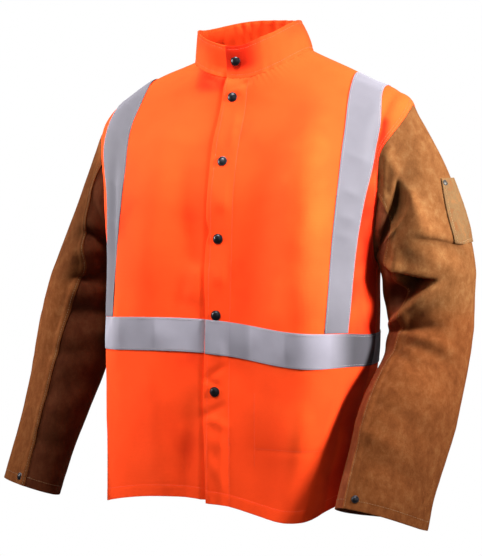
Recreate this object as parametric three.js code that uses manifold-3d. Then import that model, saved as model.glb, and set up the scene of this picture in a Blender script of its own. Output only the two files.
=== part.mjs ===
// A work jacket that stands as if it were worn: flame-resistant cotton body with a stand collar and a
// snap front, split-suede sleeves, reflective tape round the waist and over both shoulders.
// Millimetres. +Z is up, the front faces -Y and the wearer's left is +X. The origin is inside the neck
// opening, level with the points where the collar meets the shoulders.
import * as THREE from "three";
import { mergeVertices } from "three/addons/utils/BufferGeometryUtils.js";
import Module from "manifold-3d";

const wasm = await Module();
wasm.setup();

// Driving dimensions
const CLOTH = 2.0; // wall of the cotton body
const SUEDE = 2.2; // wall of the sleeves and the sleeve pocket
const TAPE = 1.0; // reflective tape
const GAP = 0.4; // clearance between layers that lie on each other
const SEAM = 0.8; // open width of a seam between two panels
const ARMHOLE_SEAM = 2.4; // a sleeve leaves the body at an angle, so its seam is wider
const LAP = 16; // each front edge passes the centre line by this much
const LAP_TUCK = 36; // length over which the under edge sinks below the upper one
const LAP_SINK = CLOTH + 2 * GAP;
const COLLAR_WALL = 2.6;
const COLLAR_RISE = 2.2; // the collar starts this far above the neck edge
const COLLAR_SINK = COLLAR_WALL + 2 * GAP;

const FRONT_SNAP = { cap: 7.6, rise: 3.0, post: 2.2, washer: 5.2, sides: 10 };
const CUFF_SNAP = { cap: 5.6, rise: 2.4, post: 1.8, washer: 4.2, sides: 10 };
const RIVET = { cap: 4.4, rise: 1.8, post: 1.5, washer: 3.6, sides: 10 };
const WASHER = 1.0; // thickness of the plate on a snap's inner end
const HOLE_SIDES = 8;
const HOLE_PLAY = 0.4; // a hole is this much wider in radius than the post through it
const HOLE_LENGTH = 30; // of the form that cuts it, well past every layer

const COLOUR = {
  cotton: 0xf9521f,
  tape: 0xb4b1b9,
  suede: 0x9a5a28,
  black: 0x1c1a1c,
  steel: 0x8e8a86,
};

// Rings round the body, from the hem up. at: distance along the side seam. left, right, fore, aft: the
// ring's height at the wearer's left, right, front and back. half: half width. front, back: depths from
// the ring's middle. shift, mid: sideways and fore-and-aft place of the middle. square: 0 is an ellipse.
// droop: how far the cloth hangs down over the wearer's left front.
const BODY = [
  {
    at: 0, left: -668, right: -690, fore: -657, aft: -690, half: 212, front: 117, back: 116,
    shift: -3, mid: 0, square: 0.2, droop: 30,
  },
  {
    at: 125, left: -566, right: -568, fore: -546, aft: -570, half: 213, front: 118, back: 116,
    shift: -3, mid: 0, square: 0.2, droop: 21,
  },
  {
    at: 240, left: -464, right: -449, fore: -441, aft: -456, half: 213, front: 120, back: 116,
    shift: -3, mid: 0, square: 0.2, droop: 14,
  },
  {
    at: 290, left: -416, right: -400, fore: -391, aft: -406, half: 213, front: 121, back: 116,
    shift: -3, mid: 0, square: 0.2, droop: 12,
  },
  {
    at: 390, left: -310, right: -306, fore: -300, aft: -308, half: 215, front: 120, back: 118,
    shift: -3, mid: 6, square: 0.18, droop: 4,
  },
  {
    at: 505, left: -192, right: -204, fore: -212, aft: -200, half: 236, front: 124, back: 112,
    shift: 4, mid: 20, square: 0.12, droop: 0,
  },
  {
    at: 615, left: -76, right: -102, fore: -140, aft: -95, half: 249, front: 115, back: 92,
    shift: 8, mid: 35, square: 0.04, droop: 0,
  },
  {
    at: 705, left: -34, right: -40, fore: -86, aft: -28, half: 177, front: 88, back: 74,
    shift: 6, mid: 35, square: 0.0, droop: 0,
  },
  {
    at: 800, left: 7, right: -6, fore: -36, aft: 14, half: 92, front: 74, back: 62,
    shift: 6, mid: 32, square: 0.0, droop: 0,
  },
];
const STATION = { hem: 0, tapeLow: 240, tapeHigh: 290, underarm: 390, shoulder: 615, neck: 800 };
const DROOP = { turn: -62, spread: 24 }; // degrees: its middle and how far it spreads

// Rings of the stand collar, read as the body's are.
const COLLAR = [
  {
    at: 0, left: 7, right: -6, fore: -36, aft: 14, half: 92, front: 74, back: 62,
    shift: 6, mid: 32, square: 0.0, droop: 0,
  },
  {
    at: 25, left: 31, right: 20, fore: -11, aft: 38, half: 87, front: 71, back: 60,
    shift: 3, mid: 32, square: 0.0, droop: 0,
  },
  {
    at: 50, left: 54, right: 43, fore: 13, aft: 60, half: 80, front: 69, back: 58,
    shift: -1, mid: 30, square: 0.0, droop: 0,
  },
];
const COLLAR_HEIGHT = 50;
const COLLAR_TUCK = { from: 220, to: 255 }; // degrees over which its under end sinks inside the upper one

// How far round from the side seam the armhole reaches, in degrees, at the front and at the back.
const ARMHOLE = { front: 21, back: 24 };
const SHOULDER_RADIUS = 230; // of the body at the armhole, to turn millimetres into an angle

// Rings of the sleeves along the arm. at: distance from the armhole. x, y, z: middle of the ring.
// wide, deep: half sizes. turn: degrees that the wide way is turned from outward to forward.
// seam: degrees that the front seam is turned from forward to inward. skew: how far the back of the ring is
// drawn up the arm.
const SLEEVE = {
  left: [
    { at: 0, x: 264, y: 25, z: -190, wide: 44, deep: 66, turn: 0, seam: 0, skew: 0 },
    { at: 80, x: 287, y: 30, z: -262, wide: 65, deep: 70, turn: 0, seam: 10, skew: 0 },
    { at: 165, x: 290, y: 32, z: -345, wide: 62, deep: 66, turn: -15, seam: 20, skew: 0 },
    { at: 252, x: 291, y: 24, z: -432, wide: 58, deep: 60, turn: -30, seam: 30, skew: 0 },
    { at: 378, x: 270, y: -34, z: -541, wide: 74, deep: 50, turn: -43, seam: 27, skew: 0 },
    { at: 469, x: 254, y: -65, z: -626, wide: 72, deep: 47, turn: -45, seam: 24, skew: 0 },
    { at: 532, x: 247, y: -88, z: -683, wide: 73, deep: 44, turn: -45, seam: 22, skew: 18 },
  ],
  right: [
    { at: 0, x: -260, y: 25, z: -205, wide: 40, deep: 64, turn: 0, seam: 0, skew: 0 },
    { at: 75, x: -261, y: 27, z: -275, wide: 40, deep: 68, turn: 0, seam: 10, skew: 0 },
    { at: 158, x: -277, y: 25, z: -355, wide: 54, deep: 63, turn: -12, seam: 12, skew: 0 },
    { at: 252, x: -293, y: 11, z: -447, wide: 65, deep: 57, turn: -30, seam: 4, skew: 0 },
    { at: 337, x: -309, y: -9, z: -528, wide: 71, deep: 48, turn: -43, seam: 0, skew: 0 },
    { at: 406, x: -326, y: -22, z: -594, wide: 73, deep: 43, turn: -46, seam: 0, skew: 0 },
    { at: 488, x: -344, y: -40, z: -673, wide: 73, deep: 42, turn: -47, seam: 0, skew: 6 },
  ],
};
const SLEEVE_BLEND = 150; // the armhole's outline turns into the arm's over this length
const SLEEVE_RADIUS = 62; // mean, to turn angles into millimetres

// Folds of the front. x, z: middle. length, width: half sizes. slant: degrees from upright, top leaning to
// the wearer's left. depth: + is out.
const FRONT_FOLDS = [
  { x: 118, z: -290, length: 130, width: 34, slant: 4, depth: 4 },
  { x: 62, z: -300, length: 120, width: 30, slant: 6, depth: -3 },
  { x: 96, z: -600, length: 110, width: 46, slant: 8, depth: 6 },
  { x: 172, z: -590, length: 110, width: 30, slant: -6, depth: -5 },
  { x: -110, z: -560, length: 120, width: 40, slant: -8, depth: 4 },
  { x: 0, z: -530, length: 24, width: 14, slant: 90, depth: -4 },
];
// Folds of the sleeves. at, around: middle, in millimetres and degrees. length, width: half sizes. slant:
// degrees from round the arm towards the cuff. depth: + is out.
const SLEEVE_FOLDS = {
  left: [
    { at: 76, around: 102, length: 42, width: 13, slant: 6, depth: -9 },
    { at: 98, around: 82, length: 34, width: 13, slant: 20, depth: 5 },
    { at: 116, around: 52, length: 32, width: 12, slant: -14, depth: -5 },
    { at: 130, around: 62, length: 30, width: 13, slant: -8, depth: 5 },
    { at: 146, around: 100, length: 32, width: 12, slant: -14, depth: -9 },
    { at: 178, around: 120, length: 40, width: 15, slant: 28, depth: -9 },
    { at: 206, around: 112, length: 52, width: 13, slant: 34, depth: 6 },
    { at: 280, around: 72, length: 42, width: 18, slant: -10, depth: -4 },
    { at: 340, around: 60, length: 44, width: 24, slant: -14, depth: 3 },
  ],
  right: [
    { at: 84, around: 112, length: 36, width: 15, slant: -16, depth: -7 },
    { at: 122, around: 104, length: 34, width: 15, slant: -16, depth: 5 },
    { at: 160, around: 122, length: 36, width: 15, slant: -16, depth: -5 },
    { at: 230, around: 128, length: 40, width: 20, slant: -14, depth: 4 },
    { at: 300, around: 140, length: 40, width: 22, slant: -12, depth: -4 },
  ],
};

// Edges of the shoulder tapes: distances from the middle plane against height.
const BRACE = {
  left: [
    { z: -480, inner: 160, outer: 194 },
    { z: -400, inner: 163, outer: 197 },
    { z: -300, inner: 168, outer: 203 },
    { z: -216, inner: 172, outer: 214 },
    { z: -144, inner: 172, outer: 228 },
    { z: -100, inner: 172, outer: 226 },
    { z: -50, inner: 166, outer: 216 },
    { z: 60, inner: 158, outer: 207 },
  ],
  right: [
    { z: -480, inner: 188, outer: 222 },
    { z: -400, inner: 183, outer: 219 },
    { z: -300, inner: 175, outer: 214 },
    { z: -216, inner: 167, outer: 212 },
    { z: -144, inner: 168, outer: 221 },
    { z: -100, inner: 166, outer: 218 },
    { z: -50, inner: 158, outer: 208 },
    { z: 60, inner: 154, outer: 204 },
  ],
};

const BAND_REACH = 400; // half depth of the form that cuts a shoulder tape, past the whole body

const FRONT_SNAPS = [
  { z: -64, lift: 0 },
  { z: -160, lift: 0 },
  { z: -274, lift: 0 },
  { z: -387, lift: TAPE + GAP }, // its cap reaches over the waist tape
  { z: -500, lift: 0 },
];
const COLLAR_SNAP = 27; // up the collar
const CUFF_SNAPS = { left: { fromEdge: 20, fromSeam: 12 }, right: { fromEdge: 18, fromSeam: 12 } };
const POCKET = { front: -8, back: 68, top: -186, bottom: -280, lean: 13 };
const POCKET_SPAN = { near: 280, far: 440 }; // along X, of the block that cuts it from the sleeve's skin
const POCKET_RIVET = { y: 13, z: -194 };

// Tables
function column(table, name, at) {
  const last = table.length - 1;
  const slope = (i) => {
    const a = table[Math.max(i - 1, 0)];
    const b = table[Math.min(i + 1, last)];
    return (b[name] - a[name]) / (b.at - a.at);
  };
  let i = 0;
  while (i < last - 1 && at > table[i + 1].at) i++;
  const span = table[i + 1].at - table[i].at;
  const t = Math.min(Math.max((at - table[i].at) / span, 0), 1);
  const rise = t * t * (3 - 2 * t);
  return (
    table[i][name] * (1 - rise) +
    table[i + 1][name] * rise +
    span * t * (1 - t) * (slope(i) * (1 - t) - slope(i + 1) * t)
  );
}

const radians = THREE.MathUtils.degToRad;
const smooth = (low, high, at) => THREE.MathUtils.smoothstep(at, low, high);
function spread(from, to, steps) {
  return Array.from({ length: steps + 1 }, (_, i) => from + ((to - from) * i) / steps);
}

function bisect(low, high, tooLow) {
  for (let i = 0; i < 40; i++) {
    const middle = (low + high) / 2;
    if (tooLow(middle)) low = middle;
    else high = middle;
  }
  return (low + high) / 2;
}

// Surfaces
// The body and the collar: turn is the angle from the wearer's left, positive towards the back.
function ringPoint(table, turn, at) {
  const value = (name) => column(table, name, at);
  const c = Math.cos(turn);
  const s = Math.sin(turn);
  const square = value("square");
  const x = value("shift") + value("half") * c * (1 + square * s * s);
  const y = value("mid") + value(s < 0 ? "front" : "back") * s * (1 + square * c * c);
  const z = value(c > 0 ? "left" : "right") * c * c + value(s < 0 ? "fore" : "aft") * s * s;
  const away = (THREE.MathUtils.radToDeg(turn) - DROOP.turn) / DROOP.spread;
  return new THREE.Vector3(x, y, z - value("droop") * Math.exp(-away * away));
}

const frontTurn = (table, x, at) => bisect(-Math.PI, 0, (turn) => ringPoint(table, turn, at).x < x);

// One arm: around is the angle from outward, positive forwards.
function sleevePoint(side, around, at) {
  const table = SLEEVE[side];
  const length = table.at(-1).at;
  const value = (name) => column(table, name, at);
  const middle = (where) =>
    new THREE.Vector3(...["x", "y", "z"].map((name) => column(table, name, where)));
  const [before, after] = [Math.max(at - 4, 0), Math.min(at + 4, length)];
  const along = middle(after).sub(middle(before)).normalize();
  const outward = new THREE.Vector3(side === "left" ? 1 : -1, 0, 0);
  outward.addScaledVector(along, -outward.dot(along)).normalize();
  const forward = new THREE.Vector3(0, -1, 0);
  forward.addScaledVector(along, -forward.dot(along));
  forward.addScaledVector(outward, -forward.dot(outward)).normalize();
  const turn = radians(value("turn"));
  const wide = value("wide") * Math.cos(around - turn);
  const deep = value("deep") * Math.sin(around - turn);
  const arm = middle(at)
    .addScaledVector(outward, wide * Math.cos(turn) - deep * Math.sin(turn))
    .addScaledVector(forward, wide * Math.sin(turn) + deep * Math.cos(turn));
  const blend = smooth(0, SLEEVE_BLEND, at);
  const rear = ((1 - Math.sin(around)) / 2) ** 3;
  arm.addScaledVector(along, -value("skew") * rear);
  return blend < 1 ? armholePoint(side, around, -ARMHOLE_SEAM).lerp(arm, blend) : arm;
}

// The armhole in the body, with the same angle round it as the sleeve. ease makes it larger.
function armholePlace(side, around, ease) {
  const reach = radians(Math.sin(around) > 0 ? ARMHOLE.front : ARMHOLE.back) + ease / SHOULDER_RADIUS;
  const half = (STATION.shoulder - STATION.underarm) / 2 + ease;
  const turn = -reach * Math.sin(around);
  return {
    turn: side === "left" ? turn : Math.PI - turn,
    at: STATION.shoulder - half + ease + half * Math.cos(around),
  };
}
function armholePoint(side, around, ease) {
  const { turn, at } = armholePlace(side, around, ease);
  return ringPoint(BODY, turn, at);
}

// A ridge or valley along a line, fading out at both ends.
function fold(row, across, along) {
  const slant = radians(row.slant);
  const p = (across * Math.cos(slant) - along * Math.sin(slant)) / row.width;
  const q = (across * Math.sin(slant) + along * Math.cos(slant)) / row.length;
  return row.depth * Math.exp(-p * p - q * q * q * q);
}

// A skin gives the point and the outward normal at two places.
function skin(place, outward = 1) {
  return (p, q) => {
    const across = place(p + 2e-3, q).sub(place(p - 2e-3, q));
    const along = place(p, q + 0.5).sub(place(p, q - 0.5));
    return { point: place(p, q), normal: across.cross(along).normalize().multiplyScalar(outward) };
  };
}
function moved(base, distance) {
  return (p, q) => {
    const { point, normal } = base(p, q);
    return { point: point.clone().addScaledVector(normal, distance(point, p, q)), normal };
  };
}

function frontFolds(point) {
  const rows = FRONT_FOLDS.map((row) => fold(row, point.x - row.x, point.z - row.z));
  return rows.reduce((sum, depth) => sum + depth, 0);
}
const bodySkin = skin((turn, at) => ringPoint(BODY, turn, at));
const shellSkin = moved(bodySkin, (point, turn) => (Math.sin(turn) < 0 ? frontFolds(point) : 0));
const lapSink = (point) => -LAP_SINK * smooth(-LAP - LAP_TUCK, -LAP, point.x);
const FRONT_SKIN = { left: shellSkin, right: moved(shellSkin, lapSink) };

function sleeveFolds(side, around, at) {
  const round = 2 * Math.PI;
  return SLEEVE_FOLDS[side].reduce((sum, row) => {
    const away = around - radians(row.around) + Math.PI;
    const turned = THREE.MathUtils.euclideanModulo(away, round) - Math.PI;
    return sum + fold(row, at - row.at, turned * SLEEVE_RADIUS);
  }, 0);
}
const sleeveSkin = (side) =>
  moved(
    skin((around, at) => sleevePoint(side, around, at), side === "left" ? 1 : -1),
    (_, around, at) => sleeveFolds(side, around, at),
  );
const SLEEVE_SKIN = { left: sleeveSkin("left"), right: sleeveSkin("right") };

// Solids
// A closed wall over a grid of places: rows of [p, q] pairs, from an inner to an outer distance off a skin.
function wall(grid, surface, inner, outer) {
  const rows = grid.length;
  const columns = grid[0].length;
  const places = grid.flat().map(([p, q]) => surface(p, q));
  const positions = [inner, outer].flatMap((distance) =>
    places.flatMap(({ point, normal }) => point.clone().addScaledVector(normal, distance).toArray()),
  );
  const vertex = (face, i, j) => face * rows * columns + i * columns + j;
  const index = [];
  const quad = (a, b, c, d) => index.push(a, b, c, a, c, d);
  for (let i = 0; i < rows - 1; i++)
    for (let j = 0; j < columns - 1; j++) {
      quad(vertex(1, i, j), vertex(1, i, j + 1), vertex(1, i + 1, j + 1), vertex(1, i + 1, j));
      quad(vertex(0, i, j), vertex(0, i + 1, j), vertex(0, i + 1, j + 1), vertex(0, i, j + 1));
    }
  for (let i = 0, j = columns - 1; i < rows - 1; i++) {
    quad(vertex(0, i, 0), vertex(1, i, 0), vertex(1, i + 1, 0), vertex(0, i + 1, 0));
    quad(vertex(1, i, j), vertex(0, i, j), vertex(0, i + 1, j), vertex(1, i + 1, j));
  }
  for (let j = 0, i = rows - 1; j < columns - 1; j++) {
    quad(vertex(0, 0, j), vertex(0, 0, j + 1), vertex(1, 0, j + 1), vertex(1, 0, j));
    quad(vertex(1, i, j), vertex(1, i, j + 1), vertex(0, i, j + 1), vertex(0, i, j));
  }
  return new THREE.BufferGeometry()
    .setAttribute("position", new THREE.Float32BufferAttribute(positions, 3))
    .setIndex(index);
}

// The point and normal of a wall's middle on its facets, at the place [p, q].
function onWall(grid, surface, p, q) {
  const between = (from, to, value) => (value - from) / (to - from);
  const i = Math.max(grid.findIndex((row) => row[0][1] >= q) - 1, 0);
  const v = between(grid[i][0][1], grid[i + 1][0][1], q);
  const edge = grid[i].map(([start], j) => start + (grid[i + 1][j][0] - start) * v);
  const j = edge.findIndex((start, k) => k < edge.length - 1 && between(start, edge[k + 1], p) <= 1);
  const u = between(edge[j], edge[j + 1], p);
  const [a, b, c, d] = [grid[i][j], grid[i][j + 1], grid[i + 1][j + 1], grid[i + 1][j]].map(
    (place) => surface(...place).point,
  );
  const corner = u > v ? b : d;
  const point = a.clone().multiplyScalar(1 - Math.max(u, v));
  point.addScaledVector(c, Math.min(u, v)).addScaledVector(corner, Math.abs(u - v));
  const [first, second] = u > v ? [b, c] : [c, d];
  const normal = first.clone().sub(a).cross(second.clone().sub(a)).normalize();
  return { point, normal };
}

function toSolid(geometry) {
  const bare = geometry.clone();
  bare.deleteAttribute("normal");
  bare.deleteAttribute("uv");
  const merged = mergeVertices(bare, 1e-3);
  const index = [];
  for (let i = 0; i < merged.index.count; i += 3) {
    const [a, b, c] = merged.index.array.slice(i, i + 3);
    if (a !== b && b !== c && c !== a) index.push(a, b, c);
  }
  return new wasm.Manifold(
    new wasm.Mesh({
      numProp: 3,
      vertProperties: new Float32Array(merged.attributes.position.array),
      triVerts: new Uint32Array(index),
    }),
  );
}

function fromSolid(solid) {
  const mesh = solid.getMesh();
  return new THREE.BufferGeometry()
    .setAttribute("position", new THREE.BufferAttribute(mesh.vertProperties, 3))
    .setIndex(Array.from(mesh.triVerts));
}

const cut = (geometry, tools) =>
  fromSolid(tools.reduce((solid, tool) => solid.subtract(toSolid(tool)), toSolid(geometry)));
const common = (geometry, tool) => fromSolid(toSolid(geometry).intersect(toSolid(tool)));

// Moves a form made round the Y axis on to a skin, with Y along the normal.
function place(geometry, { point, normal }) {
  const turn = new THREE.Quaternion().setFromUnitVectors(new THREE.Vector3(0, 1, 0), normal);
  return geometry.applyQuaternion(turn).translate(...point.toArray());
}

// A domed cap, a post and an inner plate. top and bottom: the faces it clamps, off the skin.
function snap(size, top, bottom) {
  const base = top + GAP;
  const plate = bottom - 2 * GAP;
  const profile = [
    [0, plate - WASHER],
    [size.washer, plate - WASHER],
    [size.washer, plate],
    [size.post, plate],
    [size.post, base],
    [size.cap, base],
    [size.cap, base + size.rise * 0.3],
    [size.cap * 0.82, base + size.rise * 0.72],
    [size.cap * 0.45, base + size.rise * 0.95],
    [0, base + size.rise],
  ];
  const lathe = new THREE.LatheGeometry(profile.map(([r, h]) => new THREE.Vector2(r, h)), size.sides);
  return fromSolid(toSolid(lathe));
}
const hole = (size) => {
  const radius = size.post + HOLE_PLAY;
  return new THREE.CylinderGeometry(radius, radius, HOLE_LENGTH, HOLE_SIDES);
};

const jacket = new THREE.Group();
function add(name, geometry, colour, roughness = 0.9, metalness = 0) {
  const material = new THREE.MeshStandardMaterial({ color: colour, roughness, metalness });
  const mesh = new THREE.Mesh(geometry, material);
  mesh.name = name;
  jacket.add(mesh);
}

// Grids. The armhole has one row for each column of the sleeve, so their edges run side by side.
const COLUMNS = { sleeve: 8, front: 9, back: 14, collar: 26 };
const ROWS = { lower: 4, tape: 1, chest: 3, shoulder: 5, armhole: 2, bend: 12, forearm: 8, pocket: 3 };
const SLEEVE_BEND = { from: 44, to: 224 }; // its rows are closer together
const LOWER_ROWS = spread(STATION.hem, STATION.tapeLow, ROWS.lower).slice(0, -1);
const TAPE_ROWS = spread(STATION.tapeLow, STATION.tapeHigh, ROWS.tape);
const CHEST_ROWS = spread(STATION.tapeHigh, STATION.underarm, ROWS.chest).slice(1, -1);
const ARMHOLE_ANGLES = spread(Math.PI, 0, COLUMNS.sleeve);
const SHOULDER_ROWS = spread(STATION.shoulder, STATION.neck, ROWS.shoulder).slice(1);
const flat = (rows) => rows.map((at) => ({ at, around: null }));
const BODY_ROWS = [
  ...flat([...LOWER_ROWS, ...TAPE_ROWS, ...CHEST_ROWS]),
  ...ARMHOLE_ANGLES.map((around) => ({ at: armholePlace("left", around, 0).at, around })),
  ...flat(SHOULDER_ROWS),
];

// Where a panel ends at the side: the side seam, the armhole or the shoulder seam. An angle.
function sideEdge(face, { at, around }) {
  const seam = SEAM / 2 / column(BODY, face, at);
  if (around === null) return seam;
  const reach = armholePlace("left", face === "front" ? around : -around, 0).turn;
  return Math.max(Math.abs(reach), seam);
}

function frontRow(side, row) {
  const far = -sideEdge("front", row);
  const turnAt = (x) => frontTurn(BODY, x, row.at);
  const turns =
    side === "left"
      ? [turnAt(-LAP), turnAt(0), ...spread(turnAt(LAP), far, COLUMNS.front)]
      : [...spread(-Math.PI - far, turnAt(-LAP - 2), COLUMNS.front), turnAt(0), turnAt(LAP)];
  return turns.map((turn) => [turn, row.at]);
}
function backRow(row) {
  const near = sideEdge("back", row);
  return spread(near, Math.PI - near, COLUMNS.back).map((turn) => [turn, row.at]);
}

// Body panels
const snapPlaces = FRONT_SNAPS.map(({ z }) => {
  const turnAt = (at) => frontTurn(BODY, 0, at);
  const at = bisect(STATION.hem, STATION.neck, (where) => ringPoint(BODY, turnAt(where), where).z < z);
  return shellSkin(turnAt(at), at);
});
const snapHoles = snapPlaces.map((where) => place(hole(FRONT_SNAP), where));
for (const side of ["right", "left"]) {
  const grid = BODY_ROWS.map((row) => frontRow(side, row));
  const panel = wall(grid, FRONT_SKIN[side], -CLOTH / 2, CLOTH / 2);
  add(`front_${side}`, cut(panel, snapHoles), COLOUR.cotton);
}
add("back_panel", wall(BODY_ROWS.map(backRow), shellSkin, -CLOTH / 2, CLOTH / 2), COLOUR.cotton);

// Collar, from its upper end on the wearer's left round the back to its under end
const collarSkin = moved(
  skin((turn, at) => ringPoint(COLLAR, turn, at)),
  (_, turn) => -COLLAR_SINK * smooth(radians(COLLAR_TUCK.from), radians(COLLAR_TUCK.to), turn),
);
const collarGrid = [COLLAR_RISE, COLLAR_HEIGHT / 2, COLLAR_HEIGHT].map((at) => {
  const [right, middle, left] = [-LAP, 0, LAP].map((x) => frontTurn(COLLAR, x, at));
  const round = 2 * Math.PI;
  const turns = [right, middle, ...spread(left, right + round, COLUMNS.collar), middle + round, left + round];
  return turns.map((turn) => [turn, at]);
});
const collarSnapPlace = collarSkin(frontTurn(COLLAR, 0, COLLAR_SNAP), COLLAR_SNAP);
const collarWall = wall(collarGrid, collarSkin, -COLLAR_WALL / 2, COLLAR_WALL / 2);
add("collar", cut(collarWall, [place(hole(FRONT_SNAP), collarSnapPlace)]), COLOUR.cotton);

// Reflective tape
const tapeIn = CLOTH / 2 + GAP;
const tapeOut = tapeIn + TAPE;
const tapeRows = flat(TAPE_ROWS);
const tapeGrid = {
  right: tapeRows.map((row) => frontRow("right", row).slice(0, COLUMNS.front + 1)),
  left: tapeRows.map((row) => frontRow("left", row)),
  back: tapeRows.map(backRow),
};
for (const [side, grid] of Object.entries(tapeGrid)) {
  add(`waist_tape_${side}`, wall(grid, FRONT_SKIN[side] ?? shellSkin, tapeIn, tapeOut), COLOUR.tape, 0.5);
}

// A shoulder tape is the part of a skin over one half of the body that lies between two curved edges.
for (const side of ["right", "left"]) {
  const rows = BODY_ROWS.filter((row) => row.at > STATION.tapeHigh);
  rows.unshift({ at: STATION.tapeHigh + SEAM, around: null });
  const grid = rows.map((row) => {
    const front = frontRow(side, row);
    const back = backRow(row);
    const half = COLUMNS.back / 2 + 1;
    return side === "left"
      ? [...front, ...back.slice(0, half)]
      : [...back.slice(-half), ...front.map(([turn, at]) => [turn + 2 * Math.PI, at])];
  });
  const edges = BRACE[side].map(({ z, inner, outer }) => {
    const pair = side === "left" ? [inner, outer] : [-outer, -inner];
    return pair.map((x) => [x, z]);
  });
  const facing = new THREE.Vector3(0, -1, 0);
  const upright = (x, z) => ({ point: new THREE.Vector3(x, 0, z), normal: facing });
  const band = wall(edges, upright, -BAND_REACH, BAND_REACH);
  add(`brace_${side}`, common(wall(grid, shellSkin, tapeIn, tapeOut), band), COLOUR.tape, 0.5);
}

// Sleeves of two panels each, seamed along the front and the back of the arm
function sleeveRow(side, panel, at) {
  const seam = radians(90 + column(SLEEVE[side], "seam", at));
  const inset = SEAM / 2 / SLEEVE_RADIUS;
  const [from, to] = panel === "top" ? [-Math.PI / 2, seam] : [seam, Math.PI * 1.5];
  const turns = spread(from + inset, to - inset, COLUMNS.sleeve).map((around) => [around, at]);
  return side === "left" ? turns : turns.reverse();
}
function sleeveGrid(side, panel) {
  const rows = [
    ...spread(0, SLEEVE_BEND.from, ROWS.armhole).slice(0, -1),
    ...spread(SLEEVE_BEND.from, SLEEVE_BEND.to, ROWS.bend).slice(0, -1),
    ...spread(SLEEVE_BEND.to, SLEEVE[side].at(-1).at, ROWS.forearm),
  ];
  return rows.map((at) => sleeveRow(side, panel, at));
}
function sleeveWall(side, panel, inner, outer) {
  return wall(sleeveGrid(side, panel), SLEEVE_SKIN[side], inner, outer);
}
const pocketIn = SUEDE / 2 + GAP;
const pocketOut = pocketIn + SUEDE;
const rivetPlace = (() => {
  const aroundAt = (at) =>
    bisect(radians(-80), radians(80), (around) => SLEEVE_SKIN.left(around, at).point.y > POCKET_RIVET.y);
  const at = bisect(10, 200, (where) => SLEEVE_SKIN.left(aroundAt(where), where).point.z > POCKET_RIVET.z);
  return onWall(sleeveGrid("left", "top"), SLEEVE_SKIN.left, aroundAt(at), at);
})();
for (const side of ["right", "left"]) {
  const length = SLEEVE[side].at(-1).at;
  const cuff = CUFF_SNAPS[side];
  const seam = radians(90 + column(SLEEVE[side], "seam", length));
  const cuffTurn = seam - cuff.fromSeam / SLEEVE_RADIUS;
  const cuffPlace = onWall(sleeveGrid(side, "top"), SLEEVE_SKIN[side], cuffTurn, length - cuff.fromEdge);
  const holes = [place(hole(CUFF_SNAP), cuffPlace)];
  if (side === "left") holes.push(place(hole(RIVET), rivetPlace));
  add(`sleeve_${side}_top`, cut(sleeveWall(side, "top", -SUEDE / 2, SUEDE / 2), holes), COLOUR.suede);
  add(`sleeve_${side}_under`, sleeveWall(side, "under", -SUEDE / 2, SUEDE / 2), COLOUR.suede);
  add(`cuff_snap_${side}`, place(snap(CUFF_SNAP, SUEDE / 2, -SUEDE / 2), cuffPlace), COLOUR.black, 0.4, 0.8);
}

// Pocket on the wearer's left sleeve
const pocketEdges = spread(0, 1, ROWS.pocket).map((share) => {
  const z = POCKET.bottom + (POCKET.top - POCKET.bottom) * share;
  const lean = POCKET.lean * share;
  return [POCKET.front + lean, POCKET.back + lean].map((y) => [y, z]);
});
const outwards = new THREE.Vector3(1, 0, 0);
const sideways = (y, z) => ({ point: new THREE.Vector3(0, y, z), normal: outwards });
const pocketBlock = wall(pocketEdges, sideways, POCKET_SPAN.near, POCKET_SPAN.far);
const pocketSheet = common(sleeveWall("left", "top", pocketIn, pocketOut), pocketBlock);
add("sleeve_pocket", cut(pocketSheet, [place(hole(RIVET), rivetPlace)]), COLOUR.suede);
add("pocket_rivet", place(snap(RIVET, pocketOut, -SUEDE / 2), rivetPlace), COLOUR.steel, 0.35, 1);

// Front snaps, from the collar down
const collarSnap = snap(FRONT_SNAP, COLLAR_WALL / 2, -COLLAR_SINK - COLLAR_WALL / 2);
add("front_snap_1", place(collarSnap, collarSnapPlace), COLOUR.black, 0.4, 0.8);
FRONT_SNAPS.forEach(({ lift }, i) => {
  const body = snap(FRONT_SNAP, CLOTH / 2 + lift, -LAP_SINK - CLOTH / 2);
  add(`front_snap_${i + 2}`, place(body, snapPlaces[i]), COLOUR.black, 0.4, 0.8);
});

export default jacket;
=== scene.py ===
"""A reflective work jacket: orange cotton body, silver tape and brown suede sleeves, in worn form."""

import math

import bpy
import numpy as np
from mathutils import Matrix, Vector


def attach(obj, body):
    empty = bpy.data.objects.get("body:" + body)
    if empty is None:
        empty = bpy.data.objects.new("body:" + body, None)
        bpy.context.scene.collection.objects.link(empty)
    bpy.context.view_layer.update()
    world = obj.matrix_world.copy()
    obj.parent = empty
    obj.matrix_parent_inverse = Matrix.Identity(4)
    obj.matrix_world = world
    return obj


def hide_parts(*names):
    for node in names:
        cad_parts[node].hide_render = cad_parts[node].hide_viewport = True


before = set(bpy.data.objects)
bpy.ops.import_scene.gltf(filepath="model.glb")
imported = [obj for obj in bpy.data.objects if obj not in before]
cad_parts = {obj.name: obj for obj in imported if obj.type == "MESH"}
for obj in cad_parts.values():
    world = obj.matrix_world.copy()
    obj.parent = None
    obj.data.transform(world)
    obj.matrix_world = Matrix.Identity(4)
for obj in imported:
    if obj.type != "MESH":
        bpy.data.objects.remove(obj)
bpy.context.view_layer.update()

bl_info = {
    "name": "Reflective work jacket",
    "version": (1, 0, 0),
    "blender": (4, 5, 0),
    "location": "3D View > Sidebar > Jacket",
    "description": "Builds the cloth, tape, suede, snaps and stitching of a work jacket over its solids",
    "category": "Add Mesh",
}

MM = 0.001
SIDES = ("right", "left")  # of the wearer


def linear(code):
    """The linear colour of an sRGB hex value."""
    parts = [int(code[i : i + 2], 16) / 255 for i in (0, 2, 4)]
    return [p / 12.92 if p <= 0.04045 else ((p + 0.055) / 1.055) ** 2.4 for p in parts]


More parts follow.
